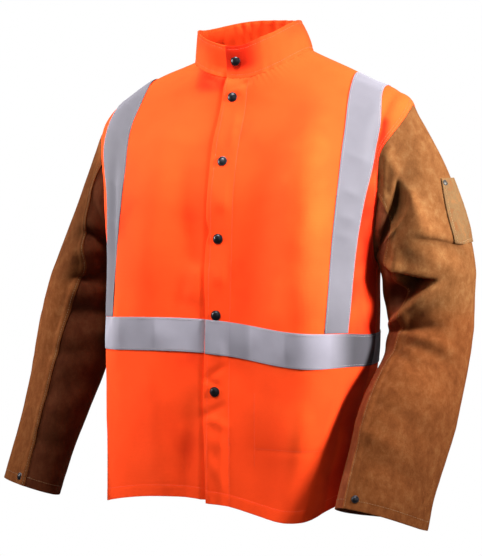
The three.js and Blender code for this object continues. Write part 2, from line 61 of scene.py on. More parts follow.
def colour(name, description, code):
    """A colour that a user may change."""
    return bpy.props.FloatVectorProperty(
        name=name, description=description, default=linear(code), size=3, subtype="COLOR", min=0, max=1
    )


def length(name, description, millimetres):
    """A length that a user may change."""
    return bpy.props.FloatProperty(
        name=name, description=description, default=millimetres * MM, min=0, precision=4,
        subtype="DISTANCE", unit="LENGTH",
    )


def angle(name, description, degrees):
    """An angle that a user may change."""
    return bpy.props.FloatProperty(
        name=name, description=description, default=math.radians(degrees), subtype="ANGLE"
    )


def power(name, description, watts):
    """A light's power that a user may change."""
    return bpy.props.FloatProperty(name=name, description=description, default=watts, unit="POWER")


class JacketSizes(bpy.types.PropertyGroup):
    """Sizes of the layers, the stitches and the fastenings."""

    cotton_wall: length("Cotton", "Thickness of the body cloth", 2.0)
    collar_wall: length("Collar", "Thickness of the doubled collar", 2.6)
    suede_wall: length("Suede", "Thickness of the sleeve leather", 2.2)
    tape_wall: length("Tape", "Thickness of the reflective tape", 0.6)
    stitch: length("Stitch", "Length of one stitch", 2.9)
    stitch_pitch: length("Stitch pitch", "Distance from one stitch to the next", 4.0)
    thread: length("Thread", "Width of the sewing thread", 0.6)
    front_snap: length("Front snap", "Radius of a front snap's cap", 7.6)
    cuff_snap: length("Cuff snap", "Radius of a cuff snap's cap", 5.6)
    rivet: length("Rivet", "Radius of the pocket rivet's head", 4.4)


class JacketColours(bpy.types.PropertyGroup):
    """Colours of the materials."""

    cotton: colour("Cotton", "High-visibility orange of the body", "F34518")
    cotton_deep: colour("Deep cotton", "Orange where the cloth is dense", "EC3F15")
    # Painted light on the cotton: the next two are red oranges of painted shade in folds, under the collar
    # and in the left forearm's shadow, and the third is a paler orange of painted highlight on ridges that
    # face the light.
    cotton_fold_shade: colour("Cotton in folds", "Red orange of the folds", "D93010")
    cotton_deep_shade: colour("Dark cotton", "Red of the deepest folds", "B81E08")
    cotton_highlight: colour("Faded cotton", "Orange of the worn ridges", "F8531E")
    cotton_bloom: colour("Cotton's bloom", "Tint of the cotton at grazing angles", "FF7A38")
    # The two tape colours are one tape: the shoulder tapes' grey is the same tape painted darker, a painted
    # shade against the stronger light on the shoulders.
    tape: colour("Waist tape", "Silver grey of the tape round the waist", "9995A0")
    shoulder_tape: colour("Shoulder tape", "Silver grey of the tapes over the shoulders", "737078")
    suede: colour("Suede", "Brown of the brushed suede", "5C3217")
    suede_dark: colour("Dark suede", "Brown where the nap lies down", "4A250F")
    suede_pale: colour("Pale suede", "Tan where the nap stands up", "6C4324")
    suede_bloom: colour("Suede's bloom", "Tint of the suede at grazing angles", "B8662E")
    # The under panels' colours are a redder copy of the sleeve suede, standing in for the shade and the
    # orange light thrown from the body inside the sleeves; their dark and pale patches are random.
    under_dark: colour("Under suede, dark", "Dark patches of the sleeves' under panels", "4A1F0F")
    under: colour("Under suede", "Most of the sleeves' under panels", "5C2B17")
    under_pale: colour("Under suede, pale", "Rubbed patches of the sleeves' under panels", "6C3B24")
    pocket: colour("Pocket suede", "Tan of the pocket's piece", "54412A")
    snap: colour("Snaps", "Black of the snaps", "1C1B20")
    rivet: colour("Rivet", "Dull grey of the pocket rivet", "3E3B38")
    cotton_thread: colour("Orange thread", "Thread in the body", "EE4A22")
    tape_thread: colour("Grey thread", "Thread along the tape", "9C8F93")
    suede_thread: colour("Tan thread", "Thread in the sleeves", "80603A")
    floor: colour("Floor", "Pale floor", "F2F2F0")


class JacketStage(bpy.types.PropertyGroup):
    """The view and the light."""

    azimuth: angle("View azimuth", "Angle of the view from straight in front", 21)
    elevation: angle("View elevation", "Angle of the view above level", 3.3)
    distance: length("View distance", "From the camera to the jacket", 2900)
    lens: bpy.props.FloatProperty(
        name="Lens", description="Focal length in millimetres", default=122.7, subtype="DISTANCE_CAMERA"
    )
    key: power("Key light", "Power of the light on the right", 13)
    side: power("Side light", "Power of the light on the left", 6)
    front: power("Front light", "Power of the large soft lights in front and behind", 13)
    top: power("Top light", "Power of the light overhead", 6)
    floor_drop: length("Floor", "Height of the neck above the floor", 1450)


# Tables. Millimetres and degrees, with the names of their columns.
def table(names, *rows):
    """A table of named columns."""
    return dict(zip(names.split(), np.array(rows, float).T))


VIEW_AIM = (-3.6, -1.4, -338)
# Lights. azimuth, elevation: degrees, as for the view. away: from the target. size: width of the disk.
# spread: degrees. target: the place that it lights. setting: the power's name in the stage's settings.
LIGHTS = (
    ("key", 84, 14, 1500, 400, 60, (120, -60, -170), "key"),
    ("side", -80, 12, 1700, 600, 60, (-120, -40, -180), "side"),
    ("front", 10, 18, 2500, 1500, 180, (0, -60, -200), "front"),
    ("top", -25, 62, 2000, 600, 40, (-20, -60, -90), "top"),
    ("rear", 178, 25, 2500, 1500, 180, (0, 60, -250), "front"),
)
SURROUND = 0.03  # how strongly the white surround lights the jacket
FLOOR_RADIUS, FLOOR_WALL = 2000, 20

# Rings round the body, from the hem up. at: distance along the side seam. left, right, fore, aft: heights.
# half, front, back: half width and depths. shift, mid: the ring's middle. square: 0 is an ellipse.
# droop: how far the cloth hangs down over the wearer's left front.
RING = "at left right fore aft half front back shift mid square droop"
BODY = table(
    RING,
    (0, -668, -690, -657, -690, 212, 117, 116, -3, 0, 0.2, 30),
    (125, -566, -568, -546, -570, 213, 118, 116, -3, 0, 0.2, 21),
    (240, -464, -449, -441, -456, 213, 120, 116, -3, 0, 0.2, 14),
    (290, -416, -400, -391, -406, 213, 121, 116, -3, 0, 0.2, 12),
    (390, -310, -306, -300, -308, 215, 120, 118, -3, 6, 0.18, 4),
    (505, -192, -204, -212, -200, 236, 124, 112, 4, 20, 0.12, 0),
    (615, -76, -102, -140, -95, 249, 115, 92, 8, 35, 0.04, 0),
    (705, -34, -40, -86, -28, 177, 88, 74, 6, 35, 0, 0),
    (800, 7, -6, -36, 14, 92, 74, 62, 6, 32, 0, 0),
)
COLLAR = table(
    RING,
    (0, 7, -6, -36, 14, 92, 74, 62, 6, 32, 0, 0),
    (25, 31, 20, -11, 38, 87, 71, 60, 3, 32, 0, 0),
    (50, 54, 43, 13, 60, 80, 69, 58, -1, 30, 0, 0),
)
HEM, TAPE_LOW, TAPE_HIGH, UNDERARM, SHOULDER, NECK = 0, 240, 290, 390, 615, 800  # distances up the body
BODY_RADIUS, NECK_RADIUS = 190, 76  # turn an angle into a length round the cloth
DROOP_TURN, DROOP_SPREAD = -62, 24
LAP = 16  # each front edge passes the centre line by this much
LAP_TUCK = 7  # length over which the under edge sinks below the upper one
LAP_SINK = 5
PLACKET = 22  # from the centre line to the row of stitches beside the snaps
PILLOW = {"left": 3.0, "right": 0.8}  # how far a front swells between two snaps
HEM_FOLD = 19  # height of the hem's stitches
SEAM = 0.8  # open width of a seam between two panels
COLLAR_RISE, COLLAR_HEIGHT = 0.5, 50
COLLAR_SINK = 6
COLLAR_ROWS = (6, 44.5)  # heights of the collar's stitches
NECK_SEAM = 1.3  # the collar reaches this far over the neck edge of the body
NECK_DENT, NECK_DENT_TOP = 11, 3  # how far the neck is drawn in at the snaps, and the collar's top

ARMHOLE_FRONT, ARMHOLE_BACK = 21, 24  # degrees that the armhole reaches round from the side seam
# How far the left armhole is drawn forwards, and where round it, in degrees.
ARMHOLE_DRAW, ARMHOLE_DRAW_AT, ARMHOLE_DRAW_SPREAD = 11, 58, 26
ARMHOLE_SEAM = 2.4
ARMHOLE_HALF = (SHOULDER - UNDERARM) / 2
SHOULDER_RADIUS = 230
# How finely the cloth is divided, in columns and rows.
FRONT_COLUMNS, BACK_COLUMNS, COLLAR_COLUMNS = 72, 150, 260
PLACKET_COLUMNS = {"left": 28, "right": 14}
SLEEVE_COLUMNS = {"top": 88, "under": 70}
SLEEVE_STEP = 2.5
HEM_ROWS, BODY_ROWS, ARMHOLE_ROWS, YOKE_ROWS, COLLAR_STEPS = 14, 98, 79, 50, 30
HEM_TOP = 24  # the close rows of the hem end here
WAIST_ROWS, BRACE_COLUMNS, BRACE_ROWS = 26, 22, 110
ROW_POINTS = 240  # points along a row of stitches
# Small waves of the cloth: height, lengths round it and along it, and where the noise starts.
WAVES = {
    "body": ((0.7, 55, 80, 7, 0), (0.3, 21, 27, 0, 3)),
    "collar": ((0.5, 30, 30, 0, 0),),
    "sleeve": ((0.9, 38, 44, 5, 0), (0.35, 13, 15, 0, 0)),
}

# Rings of the sleeves. at: distance from the armhole. x, y, z: middle. wide, deep: half sizes. turn: degrees
# that the wide way is turned. skew: the back is drawn up.
ARM = "at x y z wide deep turn skew"
SLEEVE = {
    "left": table(
        ARM,
        (0, 264, 25, -190, 44, 66, 0, 0),
        (80, 287, 30, -262, 65, 70, 0, 0),
        (165, 290, 32, -345, 62, 66, -15, 0),
        (252, 291, 24, -432, 58, 60, -30, 0),
        (378, 270, -34, -541, 74, 50, -43, 0),
        (469, 254, -65, -626, 72, 47, -45, 0),
        (532, 247, -88, -683, 73, 44, -45, 18),
    ),
    "right": table(
        ARM,
        (0, -260, 25, -205, 40, 64, 0, 0),
        (75, -261, 27, -275, 40, 68, 0, 0),
        (158, -277, 25, -355, 54, 63, -12, 0),
        (252, -293, 11, -447, 65, 57, -30, 0),
        (337, -309, -9, -528, 71, 48, -43, 0),
        (406, -326, -22, -594, 73, 43, -46, 0),
        (488, -344, -40, -673, 73, 42, -47, 6),
    ),
}
# The front seams of the sleeves: degrees from forward, against distance.
SLEEVE_SEAM = {
    "left": table(
        "at by",
        (0, 0), (60, 6), (90, 22), (118, 36), (150, 33),
        (175, 24), (215, 26), (252, 30), (378, 27), (532, 22),
    ),
    "right": table(
        "at by",
        (0, -32), (58, -25), (86, -10), (107, 3), (128, 18),
        (155, 12), (215, 2), (290, -6), (406, -8), (488, -3),
    ),
}
SLEEVE_BLEND = 150  # length over which the armhole's form passes into the arm's
SLEEVE_RADIUS = 62  # turns an angle into a length round the sleeve
SLEEVE_LAP = 7  # the upper panel covers the under one by this much at its seams
TUCK = 9  # the sleeve goes this far under the body at the armhole

# Folds of the fronts. x, z: middle. length, width: half sizes. slant: degrees from upright. swell: + is out.
FRONT_FOLDS = table(
    "x z length width slant swell",
    (134, -250, 170, 40, 2, 20),
    (56, -290, 130, 34, 4, -5),
    (226, -105, 50, 9, 10, -6),
    (-191, -290, 120, 11, 0, -11),
    (144, -464, 130, 42, 8, 12),
    (52, -520, 110, 30, -6, -2.5),
    (-50, -250, 80, 20, -6, -3.5),
    (-36, -340, 26, 16, 12, 4),
    (-62, -372, 40, 20, 20, -3),
    (-112, -240, 130, 38, 4, 7),
    (-20, -330, 140, 62, 0, -8),
    (-96, -560, 110, 30, -8, 4),
    (-44, -600, 80, 18, 6, -3),
    (-168, -420, 70, 12, 2, 2),
    (-176, -150, 50, 16, -24, -3),
    (2, -470, 18, 6, 58, -1.5),
    (-5, -486, 14, 5, 116, -1.3),
    (-4, -530, 22, 7, 62, -1.8),
    (6, -546, 18, 7, 110, 1.3),
    (10, -46, 20, 5, 70, -3),
    (-32, -40, 20, 5, 112, -3),
    (-92, -72, 60, 26, 60, -4),
    (216, -375, 70, 30, 0, -2),
    (120, -584, 62, 4, 90, -0.5),
)
# The cloth turns in beside the wearer's left forearm: the line where it does so.
ARM_LINE = table("at x", (-713, 120), (-662, 136), (-601, 150), (-525, 165), (-440, 184))
ARM_SINK = 26
# The upper edge of the lap wanders: how far it passes its line, against height.
LAP_EDGE = table(
    "at by",
    (-690, -2), (-586, 0), (-517, 2.5), (-448, 1), (-372, 1), (-318, 4), (-282, 3),
    (-262, -1), (-244, 3), (-203, 2.5), (-142, 3), (-87, 1), (-36, -1),
)
# Folds of the sleeves. at, around: middle. length, width: half sizes. slant: degrees from round the arm
# towards the cuff. swell: + is out. step: the shoulder's side stands up. roll: it hangs over the cuff's side.
CREASE = "at around length width slant swell step roll"
SLEEVE_FOLDS = {
    "left": table(
        CREASE,
        (40, 80, 26, 8, 20, 2, 0, 0),
        (58, 64, 44, 6, 82, 3.5, 0, 0),
        (62, 50, 30, 9, 70, -2, 0, 0),
        (62, 132, 34, 30, 0, 6, 0, 0),
        (110, 88, 40, 40, 0, 5, 0, 0),
        (76, 98, 42, 8, 10, -11, -6, -6),
        (102, 84, 36, 13, 20, 5, 0, 0),
        (116, 52, 34, 9, -14, 0, 4, 3),
        (131, 62, 32, 13, -8, 5, 0, 0),
        (108, 162, 34, 18, 0, 8, 0, 0),
        (135, 165, 50, 28, 0, 13, 0, 0),
        (138, 118, 34, 8, 80, 7, 0, 0),
        (142, 104, 32, 9, -18, 0, 8, 7),
        (168, 118, 42, 13, 22, -18, 0, 0),
        (192, 112, 56, 11, 38, 6, -5, 0),
        (176, 168, 40, 22, 0, 10, 0, 0),
        (212, 172, 60, 26, 0, 8, 0, 0),
        (258, 172, 50, 26, 0, 7, 0, 0),
        (232, 92, 36, 11, 8, -3, 0, 0),
        (262, 80, 44, 14, -6, 3, 0, 0),
        (284, 72, 42, 12, -10, -3, 0, 0),
        (300, 110, 36, 10, -24, -2.5, 0, 0),
        (340, 60, 44, 24, -14, 3, 0, 0),
        (385, 75, 50, 12, -12, -2, 0, 0),
        (420, 95, 40, 10, -10, 2, 0, 0),
        (460, 60, 50, 14, -8, -1.6, 0, 0),
    ),
    "right": table(
        CREASE,
        (62, 96, 30, 10, -20, -3, 0, 0),
        (88, 112, 38, 11, -16, -8, 3, 2),
        (112, 104, 34, 12, -16, 5, 0, 0),
        (136, 126, 36, 10, -18, -6, 2, 2),
        (168, 122, 38, 14, -16, 4, 0, 0),
        (196, 132, 40, 13, -14, -5, 0, 0),
        (236, 128, 40, 18, -14, 4, 0, 0),
        (275, 100, 40, 12, -16, -2.5, 0, 0),
        (310, 140, 42, 18, -12, -4, 0, 0),
        (360, 96, 46, 16, -12, 2, 0, 0),
        (410, 120, 44, 14, -10, -2.5, 0, 0),
    ),
}
# Edges of the shoulder tapes: distances from the middle plane against height.
BRACE = {
    "left": table(
        "at inner outer",
        (-480, 157, 186), (-400, 160, 188), (-300, 165, 195), (-216, 173, 209),
        (-144, 178, 223), (-100, 179, 227), (-50, 173, 218), (60, 163, 208),
    ),
    "right": table(
        "at inner outer",
        (-480, 186, 215), (-400, 181, 212), (-300, 173, 207), (-216, 167, 207),
        (-144, 168, 221), (-100, 166, 218), (-50, 158, 208), (60, 154, 204),
    ),
}
WAIST_CREASES = (-190, -160, -98, 34, 52, 109, 168)
# Painted light and shade on the waist tape's facets: it is painted lighter or darker from each of these
# places on, against its distance from the middle.
WAIST_FACET_SHADE = table("at by", (-160, -0.25), (-98, 0.35), (-16, -0.6), (52, 1.0), (109, -0.5), (168, -0.3))
BRACE_CREASES = {"left": (-196, -168, -130, -76), "right": (-330, -270, -190, -150)}
TAPE_CLEAR = 0.5  # between the tape and the cotton
TAPE_ROUNDING = 0.2
TAPE_CREASE, TAPE_CREASE_LENGTH = 2, 11  # height of a crease, and how far it reaches along the tape
FRONT_SNAPS = (-64, -160, -274, -387, -500)  # heights on the body
COLLAR_SNAP = 27  # up the collar
CUFF_SNAP_EDGE = {"left": 16, "right": 12}  # up from the cuff's edge
CUFF_SNAP_SEAM = {"left": 12, "right": 8}  # outward from the front seam
# Outlines of the snaps and the rivet: shares of the radius, with millimetres below the inner face or with
# shares of the cap's rise.
SNAP_PLATE = ((0.62, 1.0), (0.68, 0.7), (0.68, 0.2), (0.64, 0))
SNAP_POST = 0.28
SNAP_CAP = (
    (0.94, 0), (1, 0.08), (1, 0.3), (0.97, 0.42), (0.9, 0.47), (0.84, 0.44),
    (0.8, 0.46), (0.72, 0.62), (0.58, 0.8), (0.4, 0.93), (0.2, 0.99), (0.05, 1),
)
SNAP_SIDES = 40
# The rise of a cap and how far the inner plate is below it.
SNAP_DEPTHS = {"front": (3.0, 6.4), "cuff": (2.4, 2.8), "rivet": (1.8, 4.4)}
POCKET_FRONT, POCKET_BACK, POCKET_TOP, POCKET_BOTTOM, POCKET_LEAN = -11, 62, -186, -280, 16
POCKET_BELLY = 2.4
POCKET_WALL = 0.8  # share of the sleeves' suede
POCKET_CLEAR = 0.2  # between the pocket and the sleeve
# Rows of stitches on the pocket: shares up it and across it, from and to, with numbers of points each way.
POCKET_ROWS = (
    (0.04, 0.98, 0.05, 0.05, 40, 1),
    (0.04, 0.98, 0.95, 0.95, 40, 1),
    (0.05, 0.05, 0.04, 0.96, 1, 40),
)
RIVET_Y, RIVET_Z = 7.5, -193
# Rows of stitches that show the inside pocket on the left front: x and z, from and to.
INSIDE_POCKET = (((62, 180), (-582, -582)), ((61, 61), (-500, -606)))
ARMHOLE_STITCHES = (4, 10)  # distances of the rows from the armhole
TAPE_INSET = 3  # from a tape's edge to its row of stitches
CUFF_INSET = 14  # from a cuff's edge to its row of stitches
STITCH_LIFT = 0.1  # a stitch's middle is this far off the cloth
STITCH_FLAT = 0.7  # a stitch's height against its width


# Curves and noise
def column(rows, name, at):
    """A table's value at a distance: a smooth curve through its rows."""
    x, y = rows["at"], rows[name]
    order = np.arange(len(x))
    before, after = np.maximum(order - 1, 0), np.minimum(order + 1, len(x) - 1)
    slope = (y[after] - y[before]) / (x[after] - x[before])
    i = np.clip(np.searchsorted(x, at) - 1, 0, len(x) - 2)
    span = x[i + 1] - x[i]
    t = np.clip((at - x[i]) / span, 0, 1)
    rise = t * t * (3 - 2 * t)
    bend = span * t * (1 - t) * (slope[i] * (1 - t) - slope[i + 1] * t)
    return y[i] * (1 - rise) + y[i + 1] * rise + bend


def smooth(low, high, at):
    """0 below low, 1 above high, and smooth between."""
    t = np.clip((at - low) / (high - low), 0, 1)
    return t * t * (3 - 2 * t)


LATTICE = np.random.default_rng(11).uniform(-1, 1, (64, 64))


def noise(u, v):
    """Smooth noise from -1 to 1, with one bump for each unit."""
    i, j = np.floor(u).astype(int), np.floor(v).astype(int)
    s, t = smooth(0, 1, u - i), smooth(0, 1, v - j)
    low = LATTICE[i % 64, j % 64] * (1 - s) + LATTICE[(i + 1) % 64, j % 64] * s
    high = LATTICE[i % 64, (j + 1) % 64] * (1 - s) + LATTICE[(i + 1) % 64, (j + 1) % 64] * s
    return low * (1 - t) + high * t


def hump(at, middle, width):
    """1 at a place, and 0 well away from it."""
    return np.exp(-(((at - middle) / width) ** 2))


def waves(name, arc, at):
    """Small waves of the cloth."""
    return sum(high * noise(arc / wide + u, at / long + v) for high, wide, long, u, v in WAVES[name])


def paired(a, b):
    """Two arrays of one shape."""
    return np.broadcast_arrays(np.asarray(a, float), np.asarray(b, float))


def bisect(low, high, too_low, rounds=36):
    """The place between low and high where a test changes, for whole arrays."""
    low, high = paired(low, high)
    for _ in range(rounds):
        middle = (low + high) / 2
        below = too_low(middle)
        low, high = np.where(below, middle, low), np.where(below, high, middle)
    return (low + high) / 2


def crossing(rows, across, along, place):
    """How much of a fold there is at a point, its sideways step there, and its slant in radians."""
    slant = np.radians(rows["slant"][place])
    p = (across * np.cos(slant) - along * np.sin(slant)) / rows["width"][place]
    q = (across * np.sin(slant) + along * np.cos(slant)) / rows["length"][place]
    fade = np.exp(-p * p - q**4)
    return fade, -p * fade * math.sqrt(2 * math.e), slant


# Surfaces. Each gives points in millimetres and outward normals.
def ring_point(rows, turn, at):
    """A point of the body or the collar. turn is the angle from the wearer's left, positive to the back."""
    c, s = np.cos(turn), np.sin(turn)
    square = column(rows, "square", at)
    deep = np.where(s < 0, column(rows, "front", at), column(rows, "back", at))
    side = np.where(c > 0, column(rows, "left", at), column(rows, "right", at))
    face = np.where(s < 0, column(rows, "fore", at), column(rows, "aft", at))
    x = column(rows, "shift", at) + column(rows, "half", at) * c * (1 + square * s * s)
    y = column(rows, "mid", at) + deep * s * (1 + square * c * c)
    droop = column(rows, "droop", at) * hump(np.degrees(turn), DROOP_TURN, DROOP_SPREAD)
    z = side * c * c + face * s * s - droop
    return np.stack(np.broadcast_arrays(x, y, z), -1)


def unit(v):
    """Vectors of length 1."""
    return v / np.maximum(np.linalg.norm(v, axis=-1, keepdims=True), 1e-9)


def normals(place, p, q, outward=1):
    """Outward normals of a surface."""
    across = place(p + 2e-3, q) - place(p - 2e-3, q)
    along = place(p, q + 0.5) - place(p, q - 0.5)
    return unit(np.cross(across, along)) * outward


def ring_skin(rows, turn, at):
    """Points and outward normals of the body or the collar, without its folds."""
    place = lambda p, q: ring_point(rows, p, q)
    return place(turn, at), normals(place, turn, at)


def front_turn(rows, x, at):
    """The angle at which the front passes a distance from the middle plane."""
    return bisect(-math.pi, 0, lambda turn: ring_point(rows, turn, at)[..., 0] < x)


def front_spot(x, z):
    """Where the front passes a distance from the middle plane and a height: angle and distance."""
    at = bisect(HEM, NECK, lambda a: ring_point(BODY, front_turn(BODY, x, a), a)[..., 2] < z)
    return front_turn(BODY, x, at), at


def front_folds(x, z):
    """Folds of the fronts."""
    total = 0
    for i in range(len(FRONT_FOLDS["x"])):
        fade, _, _ = crossing(FRONT_FOLDS, x - FRONT_FOLDS["x"][i], z - FRONT_FOLDS["z"][i], i)
        total = total + FRONT_FOLDS["swell"][i] * fade
    beyond = x - column(ARM_LINE, "x", z)
    sink = ARM_SINK * smooth(-405, -560, z)
    return total - sink * (smooth(0, 36, beyond) - 0.3 * hump(beyond, -24, 24))


def front_painted_light_and_shade(x, z):
    """Painted light and shade on the fronts: above 0 is a painted highlight on ridges that face the light,
    and below 0 is painted shade in folds, beside the left shoulder tape, under the collar and in the left
    forearm's shadow.
    Factors are strengths, and the rest are places in millimetres."""
    beyond = x - column(BRACE["left"], "outer", z)
    # Painted shade in the crease beside the left shoulder tape.
    crease_shade = 3.2 * hump(beyond, 0, 11) * smooth(-85, -105, z) * smooth(-190, -160, z)
    # Painted shadow of the left sleeve on the strip between the tape and the sleeve, with the crease's
    # painted shade.
    strip = smooth(-3, 2, beyond) * (crease_shade + 2.6 * smooth(-160, -205, z) * smooth(-480, -430, z))
    # Painted shade under the collar on the right front.
    neck = 3 * smooth(-84, -50, x) * smooth(-12, -18, x) * smooth(-72, -44, z)
    # Painted shadow of the left forearm on the front beside it.
    arm = 2.2 * smooth(6, 44, x - column(ARM_LINE, "x", z)) * smooth(-430, -490, z)
    # Painted highlight on the ridges of the folds and painted shade in their hollows.
    return np.clip(front_folds(x, z) / 12, -1.0, 1.6) - strip - neck - arm


def neck_dent(x):
    """1 at the snaps of the neck, where the collar's ends are drawn in, and 0 at its sides."""
    return smooth(-60, -14, x) * (1 - smooth(2, 46, x))


def body_skin(turn, at, lift=0, side=None):
    """The body's cloth. side is left or right for a front panel, with its edge, and None for the whole."""
    turn, at = paired(turn, at)
    point, normal = ring_skin(BODY, turn, at)
    x, z = point[..., 0], point[..., 2]
    arc = turn * BODY_RADIUS
    ahead = np.sin(turn) < 0
    out = front_folds(x, z) * hump(np.maximum(np.sin(turn), 0), 0, 0.4)
    out = out + waves("body", arc, at)
    gather = np.exp(-(NECK - at) / 13) + 0.7 * np.exp(-at / 12)
    out = out + 0.45 * gather * np.sin(arc / 2.1 + 2 * noise(arc / 40, at / 200))
    out = out + 0.25 * (1 - smooth(HEM_FOLD - 1, HEM_FOLD + 2, at)) - 0.2 * hump(at, HEM_FOLD, 1.8)
    if side == "left":
        out = out + 0.25 * (1 - smooth(PLACKET - 1, PLACKET + 2, x))
        out = out - 0.4 * hump(x, PLACKET, 1.7) + 1.5 * np.exp(-np.maximum(x + LAP, 0) / 5)
    if side == "right":
        out = out - LAP_SINK * smooth(-LAP - LAP_TUCK, -LAP, x)
    if side is not None:
        beat = np.interp(z, sorted((-700, *FRONT_SNAPS, -36)), np.arange(len(FRONT_SNAPS) + 2))
        pillow = np.sin(math.pi * beat) ** 2 * (1 + 0.35 * noise(x / 14, z / 22))
        strip = smooth(-LAP - 6, -LAP + 9, x) * (1 - smooth(8, PLACKET, x))
        out = out + PILLOW[side] * pillow * strip
    point = point + normal * (out + lift)[..., None]
    point[..., 1] += NECK_DENT * neck_dent(x) * np.exp(-(NECK - at) / 18) * ahead
    if side == "left":
        point[..., 2] -= 4 * hump(x, -LAP, 26) * np.exp(-at / 30)
    return point, normal


def collar_skin(turn, at, lift=0):
    """The collar's doubled cloth, round from the upper end to the under end."""
    turn, at = paired(turn, at)
    point, normal = ring_skin(COLLAR, turn, at)
    arc = turn * NECK_RADIUS
    ahead = np.sin(turn) < 0
    under = LAP_SINK * smooth(-LAP - LAP_TUCK, -LAP, point[..., 0]) * (turn > math.pi)
    sunk = COLLAR_SINK * smooth(math.radians(220), math.radians(255), turn)
    out = -under + (under - sunk) * smooth(0, 16, at)
    pucker = np.sin(arc / 2.6 + 3 * noise(arc / 26, at / 60)) * smooth(53, 45, at) * smooth(0, 14, at)
    out = out + 1.4 * np.maximum(np.sin(turn), 0) * pucker * (1 + 0.6 * noise(arc / 17, 4 + at / 70))
    out = out + waves("collar", arc, at)
    ripple = 0.5 * np.sin(arc / 2.3 + 2.5 * noise(arc / 30, at / 90))
    edges = np.exp(-at / 9) + 0.7 * np.exp(-(COLLAR_HEIGHT - at) / 7)
    out = out - 0.3 * sum(hump(at, row, 1.6) for row in COLLAR_ROWS) + ripple * edges
    dent = neck_dent(point[..., 0]) * ahead
    point = point + normal * (out + lift)[..., None]
    point[..., 1] += dent * (NECK_DENT - (NECK_DENT - NECK_DENT_TOP) * smooth(4, 46, at))
    point[..., 2] -= NECK_SEAM * np.exp(-at / 4)
    point[..., 2] += 3 * hump(point[..., 0], 36, 18) * (at / COLLAR_HEIGHT) ** 2 * ahead
    return point, normal


def armhole_reach(side, around):
    """How far the armhole goes round from the side seam. The left one is drawn forwards above its middle."""
    reach = np.where(np.sin(around) > 0, ARMHOLE_FRONT, ARMHOLE_BACK)
    if side == "left":
        reach = reach + ARMHOLE_DRAW * hump(np.degrees(around), ARMHOLE_DRAW_AT, ARMHOLE_DRAW_SPREAD)
    return np.radians(reach)


def armhole_point(side, around, ease):
    """A point of the armhole, with the sleeve's angle round it. ease makes it larger."""
    reach = armhole_reach(side, around) + ease / SHOULDER_RADIUS
    half = ARMHOLE_HALF + ease
    turn = -reach * np.sin(around)
    turn = turn if side == "left" else math.pi - turn
    return turn, SHOULDER - half + ease + half * np.cos(around)


def arm_point(side, around, at):
    """A point of a sleeve. around is the angle from outward, positive forwards."""
    around, at = paired(around, at)
    rows = SLEEVE[side]
    end = rows["at"][-1]
    on = np.clip(at, 0, end)
    middle = lambda where: np.stack([column(rows, name, where) for name in "xyz"], -1)
    along = unit(middle(np.minimum(on + 4, end)) - middle(np.maximum(on - 4, 0)))
    outward = np.array([1.0 if side == "left" else -1.0, 0, 0])
    outward = unit(outward - along * (along @ outward)[..., None])
    forward = np.array([0, -1.0, 0])
    forward = forward - along * (along @ forward)[..., None]
    forward = unit(forward - outward * np.sum(forward * outward, -1, keepdims=True))
    turn = np.radians(column(rows, "turn", on))
    wide = column(rows, "wide", on) * np.cos(around - turn)
    deep = column(rows, "deep", on) * np.sin(around - turn)
    arm = middle(on) + outward * (wide * np.cos(turn) - deep * np.sin(turn))[..., None]
    arm = arm + forward * (wide * np.sin(turn) + deep * np.cos(turn))[..., None]
    drawn = column(rows, "skew", on) * ((1 - np.sin(around)) / 2) ** 3
    arm = arm + along * (at - on - drawn)[..., None]
    ease = np.where(at < 0, -at, 0) - ARMHOLE_SEAM
    blend = smooth(0, SLEEVE_BLEND, on)[..., None]
    near = on < SLEEVE_BLEND
    hole = arm.copy()
    hole[near] = body_skin(*armhole_point(side, around[near], ease[near]))[0]
    return hole * (1 - blend) + arm * blend


def seam_angle(side, at):
    """Where the front seam of a sleeve is."""
    return np.radians(90 + column(SLEEVE_SEAM[side], "by", np.maximum(at, 0)))


def sleeve_folds(side, around, at):
    """How far the folds swell out, and how far they slide along and swing round."""
    rows = SLEEVE_FOLDS[side]
    swell, slide, swing = 0, 0, 0
    for i in range(len(rows["at"])):
        turned = (around - math.radians(rows["around"][i]) + math.pi) % (2 * math.pi) - math.pi
        fade, odd, slant = crossing(rows, at - rows["at"][i], turned * SLEEVE_RADIUS, i)
        swell = swell + rows["swell"][i] * fade + rows["step"][i] * odd
        slide = slide + rows["roll"][i] * odd * math.cos(slant)
        swing = swing - rows["roll"][i] * odd * math.sin(slant) / SLEEVE_RADIUS
    return swell, slide, swing


def sleeve_skin(side, around, at, lift=0):
    """The suede of a sleeve, with its folds."""
    around, at = paired(around, at)
    swell, slide, swing = sleeve_folds(side, around, at)
    place = lambda p, q: arm_point(side, p, q)
    p, q = around + swing, at + slide
    arc = around * SLEEVE_RADIUS
    swell = swell + smooth(0, 40, at) * waves("sleeve", arc, at) - 2.6 * smooth(0, -5, at)
    normal = normals(place, p, q, 1 if side == "left" else -1)
    return place(p, q) + normal * (swell + lift)[..., None], normal


# Making pieces
def active(piece):
    """Selects one piece alone."""
    bpy.ops.object.select_all(action="DESELECT")
    piece.select_set(True)
    bpy.context.view_layer.objects.active = piece


def modifier(piece, kind, **settings):
    """Adds a modifier to a piece and applies it."""
    active(piece)
    bpy.ops.object.modifier_add(type=kind)
    added = piece.modifiers[-1]
    for name, value in settings.items():
        setattr(added, name, value)
    bpy.ops.object.modifier_apply(modifier=added.name)


def carried(piece, material, slot, *nodes):
    """Gives a piece its material, its body and the solids that it stands for."""
    piece.data.materials.clear()
    piece.data.materials.append(material)
    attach(piece, "root")
    if nodes:
        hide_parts(*nodes)


def mesh_piece(name, points, faces):
    """A new piece from points in metres."""
    mesh = bpy.data.meshes.new(name)
    mesh.from_pydata(points.tolist(), [], faces.tolist())
    piece = bpy.data.objects.new(name, mesh)
    bpy.context.scene.collection.objects.link(piece)
    return piece


